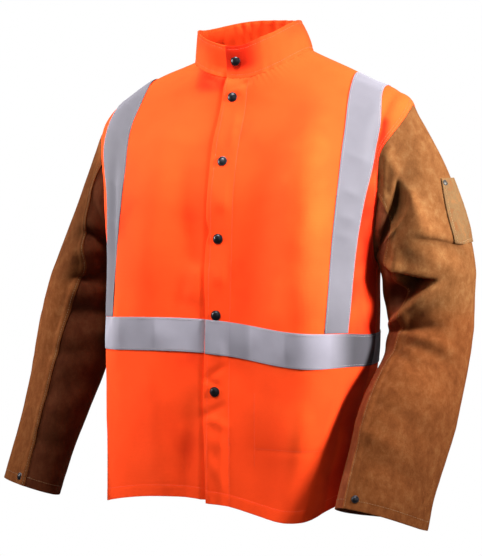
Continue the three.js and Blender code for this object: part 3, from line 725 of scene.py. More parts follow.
def cloth_piece(name, points, wall, rounding=0.6, **paint):
    """A sheet of cloth over rows of points in millimetres, with a wall in metres and rounded edges.
    Its UV map is in metres along the cloth. paint: attributes on its points. One carries painted light and
    shade, below 0 as painted shade in hollows and above 0 as a painted highlight on ridges, with the real
    paleness of cut suede edges; the other is a painted highlight, 1 where the left upper arm is lit."""
    rows, columns = points.shape[:2]
    index = np.arange(rows * columns).reshape(rows, columns)
    faces = np.stack([index[:-1, :-1], index[:-1, 1:], index[1:, 1:], index[1:, :-1]], -1).reshape(-1, 4)
    piece = mesh_piece(name, points.reshape(-1, 3) * MM, faces)
    step_u = np.linalg.norm(np.diff(points, axis=1), axis=-1).mean(0)
    step_v = np.linalg.norm(np.diff(points, axis=0), axis=-1).mean(1)
    u, v = (np.concatenate([[0], np.cumsum(step)]) * MM for step in (step_u, step_v))
    places = np.stack(np.meshgrid(u, v), -1).reshape(-1, 2)
    layer = piece.data.uv_layers.new(name="cut")
    layer.data.foreach_set("uv", places[faces.ravel()].ravel())
    for label, values in paint.items():
        piece.data.attributes.new(label, "FLOAT", "POINT").data.foreach_set("value", values.ravel())
    modifier(piece, "SOLIDIFY", thickness=wall, offset=0, use_even_offset=False)
    modifier(
        piece, "BEVEL", width=rounding * MM, segments=2, limit_method="ANGLE", angle_limit=math.radians(65)
    )
    active(piece)
    bpy.ops.object.shade_smooth()
    return piece


def spaced(*parts):
    """Numbers from part to part: each is (from, to, steps)."""
    runs = [np.linspace(low, high, int(steps) + 1)[:-1] for low, high, steps in parts]
    return np.concatenate([*runs, [parts[-1][1]]])


def side_edge(face, at, side=None):
    """The angle from the side at which a panel ends: at its seam or the armhole."""
    seam = SEAM / 2 / column(BODY, face, at)
    around = np.arccos(np.clip((at - SHOULDER + ARMHOLE_HALF) / ARMHOLE_HALF, -1, 1))
    reach = armhole_reach(side, around if face == "front" else -around) * np.sin(around)
    return np.where((at > UNDERARM) & (at < SHOULDER), np.maximum(reach, seam), seam)


def body_rows():
    """Distances up the body, closer together at the hem and round the armhole."""
    hole = UNDERARM + ARMHOLE_HALF - ARMHOLE_HALF * np.cos(np.linspace(0, math.pi, ARMHOLE_ROWS))
    below = spaced((HEM, HEM_TOP, HEM_ROWS), (HEM_TOP, UNDERARM, BODY_ROWS))
    return np.concatenate([below, hole[1:-1], spaced((SHOULDER, NECK, YOKE_ROWS))])


def front_grid(side, rows, placket=True):
    """Angles and distances over a front panel, rows from the hem up. The tape on it has no placket."""
    at = rows[:, None]
    far = -side_edge("front", at, side)
    share = np.linspace(0, 1, FRONT_COLUMNS)[None, :]
    strip = np.linspace(0, 1, PLACKET_COLUMNS[side])[None, :]
    if side == "left":
        edge = LAP + (column(LAP_EDGE, "by", column(BODY, "fore", at)) if placket else 0)
        near, line = front_turn(BODY, -edge, at), front_turn(BODY, PLACKET + 4, at)
        turn = np.concatenate([near + (line - near) * strip[:, :-1], line + (far - line) * share], 1)
    else:
        line, near = front_turn(BODY, -LAP - 2, at), front_turn(BODY, LAP, at)
        turn = (-math.pi - far) + (line + math.pi + far) * share
        if placket:
            turn = np.concatenate([turn, line + (near - line) * strip[:, 1:]], 1)
    return turn, np.broadcast_to(at, turn.shape)


def back_grid(rows):
    """Angles and distances over the back panel."""
    at = rows[:, None]
    near = side_edge("back", at)
    turn = near + (math.pi - 2 * near) * np.linspace(0, 1, BACK_COLUMNS)[None, :]
    return turn, np.broadcast_to(at, turn.shape)


def handed(side, grid):
    """Columns of a right piece's rows turned round, so that its faces look outward."""
    return grid if side == "left" else grid[:, ::-1]


# Materials
def add_node(tree, kind, inputs=None, **settings):
    """Adds a node: inputs maps a socket to a value or to a node and the name of its output."""
    node = tree.nodes.new(kind)
    for name, value in settings.items():
        setattr(node, name, value)
    for name, value in (inputs or {}).items():
        if isinstance(value, tuple) and isinstance(value[0], bpy.types.Node):
            tree.links.new(value[0].outputs[value[1]], node.inputs[name])
        else:
            node.inputs[name].default_value = value
    return node


def surface(name, **inputs):
    """A material with a Principled shader: inputs are its sockets. Returns it, its tree and the shader."""
    material = bpy.data.materials.new(name)
    material.use_nodes = True
    tree = material.node_tree
    shader = tree.nodes["Principled BSDF"]
    for socket, value in inputs.items():
        shader.inputs[socket.replace("_", " ")].default_value = value
    return material, tree, shader


def per(millimetres):
    """A texture scale for a pattern of that size."""
    return 1 / (millimetres * MM)


def ramp(tree, value, *stops):
    """A colour ramp over a value: stops are places and linear colours."""
    node = add_node(tree, "ShaderNodeValToRGB", {"Fac": value})
    elements = node.color_ramp.elements
    while len(elements) < len(stops):
        elements.new(1)
    for element, (place, shade) in zip(elements, stops):
        element.position, element.color = place, (*shade, 1)
    return node


def scaled(shade, factor):
    """A colour made lighter or darker."""
    return [part * factor for part in shade]


def patches(tree, vector, size, detail, **more):
    """Noise with patches of a size in millimetres. vector is a node and the name of its output."""
    inputs = {"Vector": vector, "Scale": per(size), "Detail": detail, **more}
    return add_node(tree, "ShaderNodeTexNoise", inputs)


def yarns(tree, vector, pitch, wander, way):
    """Bands of yarn, a pitch in millimetres apart."""
    inputs = {"Vector": vector, "Scale": per(pitch) * math.pi / 10, "Distortion": wander}
    return add_node(tree, "ShaderNodeTexWave", inputs, bands_direction=way)


def sums(tree, operation, *values):
    """A node that works one number out of others."""
    return add_node(tree, "ShaderNodeMath", dict(enumerate(values)), operation=operation)


def ranged(tree, value, low, high, **more):
    """A node that brings a value between two limits."""
    inputs = {"Value": value, "To Min": low, "To Max": high}
    inputs.update({name.replace("_", " "): limit for name, limit in more.items()})
    return add_node(tree, "ShaderNodeMapRange", inputs)


def multiplied(tree, shade, other, factor=1.0):
    """A node that multiplies two colours, wholly or by a factor. Its colour is output 2."""
    inputs = {"Factor": factor, "A": shade, "B": other}
    return add_node(tree, "ShaderNodeMix", inputs, data_type="RGBA", blend_type="MULTIPLY")


def bumped(tree, height, strength, depth):
    """A fine relief, with its depth in millimetres."""
    return add_node(tree, "ShaderNodeBump", {"Height": height, "Strength": strength, "Distance": depth * MM})


def feed(tree, shader, **sources):
    """Links a shader's sockets: each source is a node and its output."""
    for socket, (node, output) in sources.items():
        tree.links.new(node.outputs[output], shader.inputs[socket.replace("_", " ")])


def attribute(tree, name):
    """A piece's painted attribute."""
    return add_node(tree, "ShaderNodeAttribute", attribute_name=name)


def shade_and_wear_factor(tree):
    """A node that turns a piece's painted light and shade, with the real wear of cut edges, into a
    brightness: 1 where there is none.
    """
    return ranged(tree, (attribute(tree, "worn"), "Fac"), 0.2, 1.64, From_Min=-2.5, From_Max=2.0)


def cotton_finish(colours):
    """Flame-resistant cotton sateen, dyed a fluorescent orange: matt, with a soft bloom at grazing angles."""
    material, tree, shader = surface(
        "orange_cotton_sateen", Roughness=0.9, Sheen_Weight=0.1, Sheen_Roughness=0.5, Specular_IOR_Level=0.06,
        Sheen_Tint=(*colours.cotton_bloom, 1),
    )
    where = add_node(tree, "ShaderNodeTexCoord")
    cloud = patches(tree, (where, "Object"), 120, 3.0)
    # The piece's attribute of painted light and shade shifts the dye along the ramp: the two red stops are
    # painted shade, the faded stop is a painted highlight, and the cloud is a random tone.
    fade = sums(tree, "MULTIPLY_ADD", (attribute(tree, "worn"), "Fac"), 0.15, (cloud, "Fac"))
    dye = ramp(
        tree, (fade, "Value"), (0.05, colours.cotton_deep_shade), (0.2, colours.cotton_fold_shade),
        (0.36, colours.cotton_deep), (0.64, colours.cotton), (0.85, colours.cotton_highlight),
    )
    # Threads of sateen are about 0.4 mm apart. They are drawn 1.6 and 2.1 mm apart, so that they show.
    warp = yarns(tree, (where, "UV"), 1.6, 0.6, "X")
    weft = yarns(tree, (where, "UV"), 2.1, 0.8, "Y")
    cross = sums(tree, "MULTIPLY", (warp, "Fac"), (weft, "Fac"))
    slub = patches(tree, (where, "UV"), 5, 4.0)
    rough = sums(tree, "ADD", (cross, "Value"), (slub, "Fac"))
    tone = ranged(tree, (rough, "Value"), 0.93, 1.03, From_Max=1.6)
    woven = multiplied(tree, (dye, "Color"), (tone, "Result"))
    bump = bumped(tree, (rough, "Value"), 0.25, 0.4)
    feed(tree, shader, Base_Color=(woven, 2), Normal=(bump, "Normal"))
    return material


def tape_finish(name, shade):
    """Retroreflective tape: glass beads in a silver coat on cloth, which looks satin grey in soft light."""
    material, tree, shader = surface(name, Metallic=0.05, Specular_IOR_Level=0.2, Diffuse_Roughness=1)
    where = add_node(tree, "ShaderNodeTexCoord")
    # Beads are about 0.1 mm across. They are drawn 1.2 mm across, as a grain that shows.
    beads = add_node(tree, "ShaderNodeTexVoronoi", {"Vector": (where, "Object"), "Scale": per(1.2)})
    rub = patches(tree, (where, "Object"), 40, 5.0)
    coat = ramp(tree, (rub, "Fac"), (0.3, scaled(shade, 0.88)), (0.7, shade))
    # The tape's grey is painted lighter or darker by the piece's painted light and shade; the rub noise is a
    # random tone.
    shaded_coat = multiplied(tree, (coat, "Color"), (shade_and_wear_factor(tree), "Result"))
    gloss = ranged(tree, (rub, "Fac"), 0.68, 0.8)
    bump = bumped(tree, (beads, "Distance"), 0.2, 0.2)
    feed(tree, shader, Base_Color=(shaded_coat, 2), Roughness=(gloss, "Result"), Normal=(bump, "Normal"))
    return material


PAINTED_HIGHLIGHT_TINT = (1.0, 1.28, 1.46, 1.0)  # a painted highlight: how much more of each colour the left upper arm gets where the light falls on it


def suede_finish(name, bloom, dark, middle, pale):
    """Split cowhide suede: a brushed nap that lies in patches, dark one way and pale the other."""
    material, tree, shader = surface(
        name, Roughness=0.95, Sheen_Weight=0.15, Sheen_Roughness=0.6, Specular_IOR_Level=0.04,
        Sheen_Tint=(*bloom, 1),
    )
    where = add_node(tree, "ShaderNodeTexCoord")
    brushed = add_node(tree, "ShaderNodeMapping", {"Vector": (where, "Object"), "Scale": (1, 1, 0.75)})
    patch = patches(tree, (brushed, "Vector"), 13, 7.0, Roughness=0.7, Distortion=0.2)
    hide = ramp(tree, (patch, "Fac"), (0.27, dark), (0.5, middle), (0.76, pale))
    # Painted highlight: the hide is paler and yellower on the lit left upper arm.
    lit = multiplied(tree, (hide, "Color"), PAINTED_HIGHLIGHT_TINT, (attribute(tree, "stood"), "Fac"))
    # The nap's fibres are about 0.3 mm thick. They are drawn as tufts 1.4 mm across, so that they show.
    nap = patches(tree, (brushed, "Vector"), 1.4, 4.0, Roughness=0.7)
    tone = ranged(tree, (nap, "Fac"), 0.72, 1.28)
    # The nap's tone is darkened by painted shade, and lightened by painted highlights and by worn cut edges.
    nap_shade_and_wear = sums(tree, "MULTIPLY", (tone, "Result"), (shade_and_wear_factor(tree), "Result"))
    tufted = multiplied(tree, (lit, 2), (nap_shade_and_wear, "Value"))
    height = sums(tree, "ADD", (nap, "Fac"), (patch, "Fac"))
    bump = bumped(tree, (height, "Value"), 0.5, 0.8)
    feed(tree, shader, Base_Color=(tufted, 2), Normal=(bump, "Normal"))
    return material


def metal_finish(name, shade, metallic, low, high):
    """Pressed metal: black-oxide brass for the snaps, dull nickel steel for the rivet, with a worn gloss."""
    material, tree, shader = surface(name, Metallic=metallic)
    where = add_node(tree, "ShaderNodeTexCoord")
    scuff = patches(tree, (where, "Object"), 3, 5.0)
    gloss = ranged(tree, (scuff, "Fac"), low, high)
    tint = ramp(tree, (scuff, "Fac"), (0.35, scaled(shade, 0.75)), (0.7, scaled(shade, 1.2)))
    feed(tree, shader, Base_Color=(tint, "Color"), Roughness=(gloss, "Result"))
    return material


def thread_finish(name, shade):
    """Spun aramid sewing thread: matt, with the ply's twist as a fine bump."""
    material, tree, shader = surface(name, Roughness=0.8, Sheen_Weight=0.2, Specular_IOR_Level=0.3)
    where = add_node(tree, "ShaderNodeTexCoord")
    ply = patches(tree, (where, "Object"), 0.6, 2.0)
    tint = ramp(tree, (ply, "Fac"), (0.3, scaled(shade, 0.7)), (0.7, shade))
    bump = bumped(tree, (ply, "Fac"), 0.4, 0.2)
    feed(tree, shader, Base_Color=(tint, "Color"), Normal=(bump, "Normal"))
    return material


FINISH = {}


def finishes():
    """The jacket's materials, made once."""
    if not FINISH:
        c = bpy.context.scene.jacket_colours
        FINISH["cotton"] = cotton_finish(c)
        FINISH["tape"] = tape_finish("silver_bead_tape", c.tape)
        # The shoulder tapes' darker copy of the tape: painted shade.
        FINISH["shoulder_tape"] = tape_finish("rubbed_bead_tape", c.shoulder_tape)
        FINISH["top"] = suede_finish("brown_split_suede", c.suede_bloom, c.suede_dark, c.suede, c.suede_pale)
        # The under panels' redder copy of the suede: painted shade and painted orange bounce light.
        FINISH["under"] = suede_finish(
            "red_brown_split_suede", c.suede_bloom, c.under_dark, c.under, c.under_pale
        )
        FINISH["pocket"] = suede_finish("tan_split_suede", c.suede_bloom, c.suede, c.pocket, c.suede_pale)
        FINISH["snap"] = metal_finish("black_oxide_brass", c.snap, 0.7, 0.25, 0.45)
        FINISH["rivet"] = metal_finish("dull_nickel_steel", c.rivet, 1.0, 0.45, 0.65)
        FINISH["cotton_thread"] = thread_finish("orange_aramid_thread", c.cotton_thread)
        FINISH["tape_thread"] = thread_finish("grey_aramid_thread", c.tape_thread)
        FINISH["suede_thread"] = thread_finish("tan_aramid_thread", c.suede_thread)
    return FINISH


def towards(azimuth, elevation):
    """The way from the jacket to a place round it: azimuth from straight in front, elevation above level."""
    level = math.cos(elevation)
    return Vector((math.sin(azimuth) * level, -math.cos(azimuth) * level, math.sin(elevation)))


class JACKET_OT_stage(bpy.types.Operator):
    """Makes the camera, the lights, the floor and the white surround"""

    bl_idname = "jacket.stage"
    bl_label = "Stage"

    def execute(self, context):
        stage = context.scene.jacket_stage
        back = towards(stage.azimuth, stage.elevation)
        bpy.ops.object.camera_add(location=Vector(VIEW_AIM) * MM + back * stage.distance)
        camera = context.object
        camera.name = "view"
        camera.rotation_euler = back.to_track_quat("Z", "Y").to_euler()
        camera.data.lens = stage.lens
        context.scene.camera = camera
        for name, azimuth, elevation, away, size, spread, target, setting in LIGHTS:
            way = towards(math.radians(azimuth), math.radians(elevation))
            bpy.ops.object.light_add(type="AREA", location=(Vector(target) + way * away) * MM)
            light = context.object
            light.name = name + "_light"
            light.rotation_euler = way.to_track_quat("Z", "Y").to_euler()
            light.data.shape = "DISK"
            light.data.size = size * MM
            light.data.spread = math.radians(spread)
            light.data.energy = getattr(stage, setting)
        bpy.ops.mesh.primitive_circle_add(
            vertices=96, radius=FLOOR_RADIUS * MM, fill_type="NGON", location=(0, 0, -stage.floor_drop)
        )
        floor = context.object
        floor.name = "floor"
        modifier(floor, "SOLIDIFY", thickness=FLOOR_WALL * MM, offset=-1)
        bpy.ops.object.transform_apply(location=True, rotation=True, scale=True)
        material, tree, shader = surface("matt_floor_paint", Roughness=0.9)
        grit = patches(tree, (add_node(tree, "ShaderNodeTexCoord"), "Object"), 60, 4.0)
        shade = context.scene.jacket_colours.floor
        paint = ramp(tree, (grit, "Fac"), (0.3, scaled(shade, 0.97)), (0.7, shade))
        feed(tree, shader, Base_Color=(paint, "Color"))
        floor.data.materials.append(material)
        world = context.scene.world or bpy.data.worlds.new("surround")
        context.scene.world = world
        world.use_nodes = True
        tree = world.node_tree
        tree.nodes.clear()
        soft = add_node(tree, "ShaderNodeBackground", {"Color": (1, 1, 1, 1), "Strength": SURROUND})
        white = add_node(tree, "ShaderNodeBackground", {"Color": (1, 1, 1, 1), "Strength": 1.0})
        ray = add_node(tree, "ShaderNodeLightPath")
        both = add_node(
            tree, "ShaderNodeMixShader",
            {0: (ray, "Is Camera Ray"), 1: (soft, "Background"), 2: (white, "Background")},
        )
        add_node(tree, "ShaderNodeOutputWorld", {"Surface": (both, "Shader")})
        context.scene.view_settings.view_transform = "Standard"
        return {"FINISHED"}


class JACKET_OT_body(bpy.types.Operator):
    """Makes the two fronts and the back from sheets of cotton"""

    bl_idname = "jacket.body"
    bl_label = "Body"

    def execute(self, context):
        wall = context.scene.jacket_sizes.cotton_wall
        rows = body_rows()
        for side in SIDES:
            points, _ = body_skin(*front_grid(side, rows), side=side)
            # The fronts carry painted light and shade as an attribute.
            worn = front_painted_light_and_shade(points[..., 0], points[..., 2])
            panel = cloth_piece(f"{side}_front", points, wall, worn=worn)
            carried(panel, finishes()["cotton"], "cotton", f"front_{side}")
        points, _ = body_skin(*back_grid(rows))
        panel = cloth_piece("back", points, wall)
        carried(panel, finishes()["cotton"], "cotton", "back_panel")
        return {"FINISHED"}


class JACKET_OT_collar(bpy.types.Operator):
    """Makes the stand collar from doubled cotton"""

    bl_idname = "jacket.collar"
    bl_label = "Collar"

    def execute(self, context):
        at = spaced((COLLAR_RISE, COLLAR_HEIGHT, COLLAR_STEPS))[:, None]
        near, far = front_turn(COLLAR, -LAP, at), front_turn(COLLAR, LAP, at) + 2 * math.pi
        turn = near + (far - near) * np.linspace(0, 1, COLLAR_COLUMNS)[None, :]
        points, _ = collar_skin(turn, at)
        # Painted shade on the collar's upper end beside its snap, darkest there, and the whole collar a
        # little darker.
        drawn = smooth(58, 0, points[..., 0]) * smooth(2, 24, at) * (turn < 0)
        wall = context.scene.jacket_sizes.collar_wall
        piece = cloth_piece("stand_collar", points, wall, rounding=0.9, worn=-4 * drawn - 0.8)
        carried(piece, finishes()["cotton"], "cotton", "collar")
        return {"FINISHED"}


class JACKET_OT_tape(bpy.types.Operator):
    """Makes the reflective tapes round the waist and over the shoulders"""

    bl_idname = "jacket.tape"
    bl_label = "Reflective tape"

    def execute(self, context):
        sizes = context.scene.jacket_sizes
        lift = (sizes.cotton_wall + sizes.tape_wall) / 2 / MM + TAPE_CLEAR
        rows = np.linspace(TAPE_LOW, TAPE_HIGH, WAIST_ROWS)
        for side in SIDES:
            turn, at = front_grid(side, rows, placket=False)
            x = ring_point(BODY, turn, at)[..., 0]
            crease = tape_crease(x, WAIST_CREASES, (at - TAPE_LOW) / (TAPE_HIGH - TAPE_LOW))
            points, _ = body_skin(turn, at, lift + crease, side)
            # The waist tape's front halves carry painted light and shade: facet tones and the left forearm's
            # painted shadow.
            piece = cloth_piece(
                f"waist_tape_{side}_half", points, sizes.tape_wall, TAPE_ROUNDING, worn=waist_painted_shade(x)
            )
            carried(piece, finishes()["tape"], "tape", f"waist_tape_{side}")
        points, _ = body_skin(*back_grid(rows), lift)
        piece = cloth_piece("waist_tape_rear", points, sizes.tape_wall, TAPE_ROUNDING)
        carried(piece, finishes()["tape"], "tape", "waist_tape_back")
        for side in SIDES:
            turn, at = brace_grid(side)
            front = ring_point(BODY, turn, at)
            along = front[..., 2] + 0.4 * front[..., 0]
            crease = tape_crease(along, BRACE_CREASES[side], np.linspace(0, 1, turn.shape[1]))
            points, _ = body_skin(turn, at, lift + crease * (front[..., 1] < 0))
            piece = cloth_piece(f"shoulder_tape_{side}", handed(side, points), sizes.tape_wall, TAPE_ROUNDING)
            carried(piece, finishes()["shoulder_tape"], "tape", f"brace_{side}")
        return {"FINISHED"}


def waist_painted_shade(x):
    """Painted light and shade on the front of the waist tape: an even painted tone on each facet between its
    creases, and a painted shadow under the left arm.
    """
    facet_shade = sum(by * smooth(at - 1.5, at + 1.5, x) for at, by in zip(WAIST_FACET_SHADE["at"], WAIST_FACET_SHADE["by"]))
    # A little lighter overall, painted lighter and darker facets, and the painted shadow of the left forearm.
    return 0.15 + facet_shade - 2.4 * smooth(162, 198, x)


def tape_crease(along, places, across):
    """Sharp creases across a tape, at places along it. across is 0 and 1 at its edges, which lie flat."""
    ridges = sum(np.exp(-np.abs(along - place) / TAPE_CREASE_LENGTH) for place in places)
    return TAPE_CREASE * ridges * np.maximum(1 - (2 * across - 1) ** 2, 0) ** 1.5


def brace_line(side, share):
    """Angles and distances along a shoulder tape, from the front of the waist over the shoulder to the back.
    share is 0 at its edge near the neck and 1 at its edge near the arm."""
    rows = BRACE[side]
    start = TAPE_HIGH + SEAM
    sign = 1 if side == "left" else -1
    edge = lambda z: sign * (column(rows, "inner", z) * (1 - share) + column(rows, "outer", z) * share)
    middle = 0 if side == "left" else math.pi

    def inside(point):
        """True where a point is nearer the middle plane than the line."""
        return sign * (edge(point[..., 2]) - point[..., 0]) > 0

    top = bisect(start, NECK, lambda at: ~inside(ring_point(BODY, middle, at)))
    run = np.linspace(0, 1, BRACE_ROWS)
    rise = 0.5 * run + 0.5 * (1 - (1 - run) ** 2)
    at = start + (top - start) * rise
    reach = math.pi / 2
    fore = bisect(0, reach, lambda t: ~inside(ring_point(BODY, middle - sign * t, at)))
    aft = bisect(0, reach, lambda t: ~inside(ring_point(BODY, middle + sign * t, at)))
    turn = np.concatenate([middle - sign * fore, (middle + sign * aft)[-2::-1]])
    return turn, np.concatenate([at, at[-2::-1]])


def brace_grid(side):
    """Angles and distances over a shoulder tape."""
    lines = [brace_line(side, share) for share in np.linspace(0, 1, BRACE_COLUMNS)]
    return np.stack([turn for turn, _ in lines], 1), np.stack([at for _, at in lines], 1)


def sleeve_grid(side, panel):
    """Angles and distances over one panel of a sleeve."""
    end = SLEEVE[side]["at"][-1]
    at = spaced((-TUCK, 0, 5), (0, end, round(end / SLEEVE_STEP)))[:, None]
    seam = seam_angle(side, at)
    lap = SLEEVE_LAP / SLEEVE_RADIUS
    if panel == "top":
        low, high = -math.pi / 2 - lap, seam + lap
    else:
        low, high = seam - lap / 2, math.pi * 1.5 + lap / 2
    around = low + (high - low) * np.linspace(0, 1, SLEEVE_COLUMNS[panel])[None, :]
    return around, np.broadcast_to(at, around.shape)


def lap_lift(side, around, at, wall):
    """How far the upper panel of a sleeve rises where it covers the under one."""
    front = (around - seam_angle(side, at)) * SLEEVE_RADIUS
    rear = (-math.pi / 2 - around) * SLEEVE_RADIUS
    return wall * (smooth(-SLEEVE_LAP, -1, front) + smooth(-SLEEVE_LAP, -1, rear)) * smooth(-2, 14, at)


def sleeve_painted_shade_and_wear(side, panel, around, at):
    """Painted light and shade on a sleeve, with its wear: above 0 is a painted highlight on ridges and the
    real paleness of cut edges, and below 0 is painted shade in folds and inside the arm.
    Factors are strengths, and the rest are places in millimetres along the arm and in degrees round it."""
    degrees = np.degrees(around)
    past_seam = (around - seam_angle(side, at)) * SLEEVE_RADIUS
    if side == "left":
        # Left: painted shade in the elbow's crook and inside the arm, and darker above the elbow.
        crook_shade = 1.4 * hump(degrees, 140, 34) * smooth(150, 165, at) * smooth(212, 190, at)
        inner = 1.2 * hump(degrees, 150, 40) * smooth(40, 90, at) * smooth(330, 230, at)
        dark = crook_shade + inner + 0.45 * smooth(150, 110, at)
    else:
        # Right: painted shade over the under panel and the upper front of the sleeve.
        inner = smooth(0, 6, past_seam) * smooth(250, 200, degrees)
        dark = 1.9 * inner + 1.5 * smooth(20, 50, at) * smooth(180, 100, at) * (1 - inner)
    # Painted highlight on the ridges of the folds and painted shade in their hollows.
    swell = sleeve_folds(side, around, at)[0] / (8 if side == "left" else 16)
    # Real wear: the cut edge of the upper panel is paler.
    cut = smooth(SLEEVE_LAP - 3.5, SLEEVE_LAP - 1, past_seam) if panel == "top" else 0
    return np.clip(swell - dark, -2.4, 1) + 1.4 * cut


class JACKET_OT_sleeves(bpy.types.Operator):
    """Makes the two sleeves, each from an upper and an under panel of suede"""

    bl_idname = "jacket.sleeves"
    bl_label = "Sleeves"

    def execute(self, context):
        wall = context.scene.jacket_sizes.suede_wall
        for side in SIDES:
            for panel in ("top", "under"):
                around, at = sleeve_grid(side, panel)
                lift = lap_lift(side, around, at, wall / MM) if panel == "top" else 0
                points, _ = sleeve_skin(side, around, at, lift)
                # Each panel carries painted light and shade with the wear of its cut edge, and the left upper
                # arm a painted highlight.
                piece = cloth_piece(
                    f"{side}_sleeve_{panel}", handed(side, points), wall,
                    worn=handed(side, sleeve_painted_shade_and_wear(side, panel, around, at)),
                    stood=smooth(225, 180, at) * (side == "left"),
                )
                carried(piece, finishes()[panel], "suede", f"sleeve_{side}_{panel}")
        return {"FINISHED"}


def sleeve_spot(y, z):
    """Where the left sleeve's outer side passes a depth and a height: angle and distance."""
    around, at = np.zeros(np.shape(y)), np.full(np.shape(y), 80.0)
    for _ in range(4):
        fixed = at
        around = bisect(-1.4, 1.4, lambda a: arm_point("left", a, fixed)[..., 1] > y, 16)
        turned = around
        at = bisect(5, 260, lambda a: arm_point("left", turned, a)[..., 2] > z, 16)
    return around, at


def pocket_places(low=0.0, high=1.0, near=0.0, far=1.0, rows=40, columns=32):
    """Angles and distances over a part of the pocket: shares up it and across it from the front."""
    up = np.linspace(low, high, rows)[:, None]
    across = np.linspace(near, far, columns)[None, :]
    z = POCKET_BOTTOM + (POCKET_TOP - POCKET_BOTTOM) * up
    y = POCKET_FRONT + (POCKET_BACK - POCKET_FRONT) * across + POCKET_LEAN * up**2
    return sleeve_spot(*np.broadcast_arrays(y, z)), np.broadcast_arrays(up, across)


def pocket_belly(up, across):
    """How far the pocket stands off the sleeve, at shares up it and across it."""
    return POCKET_BELLY * np.sin(math.pi * across) * smooth(0, 0.25, up)


class JACKET_OT_pocket(bpy.types.Operator):
    """Makes the pencil pocket on the wearer's left sleeve"""

    bl_idname = "jacket.pocket"
    bl_label = "Sleeve pocket"

    def execute(self, context):
        wall = context.scene.jacket_sizes.suede_wall
        (around, at), (up, across) = pocket_places()
        points, _ = sleeve_skin("left", around, at, wall / MM + POCKET_CLEAR + pocket_belly(up, across))
        piece = cloth_piece("pencil_pocket", points[:, ::-1], wall * POCKET_WALL, rounding=0.5)
        carried(piece, finishes()["pocket"], "suede", "sleeve_pocket")
        return {"FINISHED"}


def turned_piece(name, profile):
    """A round piece about Z from its outline: (radius, height) pairs in metres, from the bottom up."""
    bpy.ops.object.select_all(action="DESELECT")
    (radius, height), *rest = profile
    bpy.ops.mesh.primitive_circle_add(
        vertices=SNAP_SIDES, radius=radius, fill_type="NGON", location=(0, 0, height)
    )
    piece = bpy.context.object
    piece.name = name
    bpy.ops.object.transform_apply(location=True, rotation=True, scale=True)
    bpy.ops.object.mode_set(mode="EDIT")
    bpy.ops.mesh.select_all(action="SELECT")
    for wide, high in rest:
        bpy.ops.mesh.extrude_region_move(TRANSFORM_OT_translate={"value": (0, 0, high - height)})
        share = wide / radius
        bpy.ops.transform.resize(value=(share, share, 1), center_override=(0, 0, high))
        radius, height = wide, high
    bpy.ops.mesh.select_all(action="SELECT")
    bpy.ops.mesh.normals_make_consistent(inside=False)
    bpy.ops.object.mode_set(mode="OBJECT")
    active(piece)
    bpy.ops.object.shade_smooth_by_angle(angle=math.radians(40))
    return piece


def snap_outline(kind, radius):
    """A snap's outline in metres: the inner plate, the post, and a cap with a rim round its dome."""
    rise, under = (depth * MM for depth in SNAP_DEPTHS[kind])
    plate = [(radius * share, -under - below * MM) for share, below in SNAP_PLATE]
    post = [(radius * SNAP_POST, -under), (radius * SNAP_POST, 0)]
    return plate + post + [(radius * share, rise * up) for share, up in SNAP_CAP]


def set_on(piece, point, normal):
    """Puts a round piece on a surface, upright to it. point is in millimetres."""
    piece.rotation_euler = Vector((0, 0, 1)).rotation_difference(Vector(normal)).to_euler()
    piece.location = Vector(point) * MM
    active(piece)
    bpy.ops.object.transform_apply(location=True, rotation=True, scale=True)


def copy_of(piece, name):
    """A copy with its own mesh."""
    other = piece.copy()
    other.data = piece.data.copy()
    other.name = name
    bpy.context.scene.collection.objects.link(other)
    return other


def front_snap_places():
    """Points and normals for the front snaps, from the collar down."""
    sizes = bpy.context.scene.jacket_sizes
    turn = front_turn(COLLAR, 0, np.array(float(COLLAR_SNAP)))
    yield collar_skin(turn, COLLAR_SNAP, sizes.collar_wall / 2 / MM)
    for height in FRONT_SNAPS:
        turn, at = front_spot(0, height)
        extra = sizes.tape_wall / MM if TAPE_LOW < at - 6 < TAPE_HIGH else 0
        yield body_skin(turn, at, sizes.cotton_wall / 2 / MM + extra, "left")


class JACKET_OT_snaps(bpy.types.Operator):
    """Makes the black snaps of the front and the cuffs, and the pocket's rivet"""

    bl_idname = "jacket.snaps"
    bl_label = "Snaps and rivet"

    def execute(self, context):
        sizes = context.scene.jacket_sizes
        black = finishes()["snap"]
        model = turned_piece("front_snap", snap_outline("front", sizes.front_snap))
        for i, (point, normal) in enumerate(front_snap_places(), 1):
            piece = copy_of(model, f"snap_{i}")
            set_on(piece, point, normal)
            carried(piece, black, "snap", f"front_snap_{i}")
        bpy.data.objects.remove(model)
        model = turned_piece("cuff_snap", snap_outline("cuff", sizes.cuff_snap))
        for side in SIDES:
            at = SLEEVE[side]["at"][-1] - CUFF_SNAP_EDGE[side]
            around = seam_angle(side, np.array(at)) - CUFF_SNAP_SEAM[side] / SLEEVE_RADIUS
            point, normal = sleeve_skin(side, around, at, sizes.suede_wall / 2 / MM)
            piece = copy_of(model, f"{side}_cuff_snap")
            set_on(piece, point, normal)
            carried(piece, black, "snap", f"cuff_snap_{side}")
        bpy.data.objects.remove(model)
        around, at = sleeve_spot(np.array(RIVET_Y), np.array(float(RIVET_Z)))
        point, normal = sleeve_skin("left", around, at, sizes.suede_wall * 1.5 / MM)
        piece = turned_piece("pocket_stud", snap_outline("rivet", sizes.rivet))
        set_on(piece, point, normal)
        carried(piece, finishes()["rivet"], "rivet", "pocket_rivet")
        return {"FINISHED"}


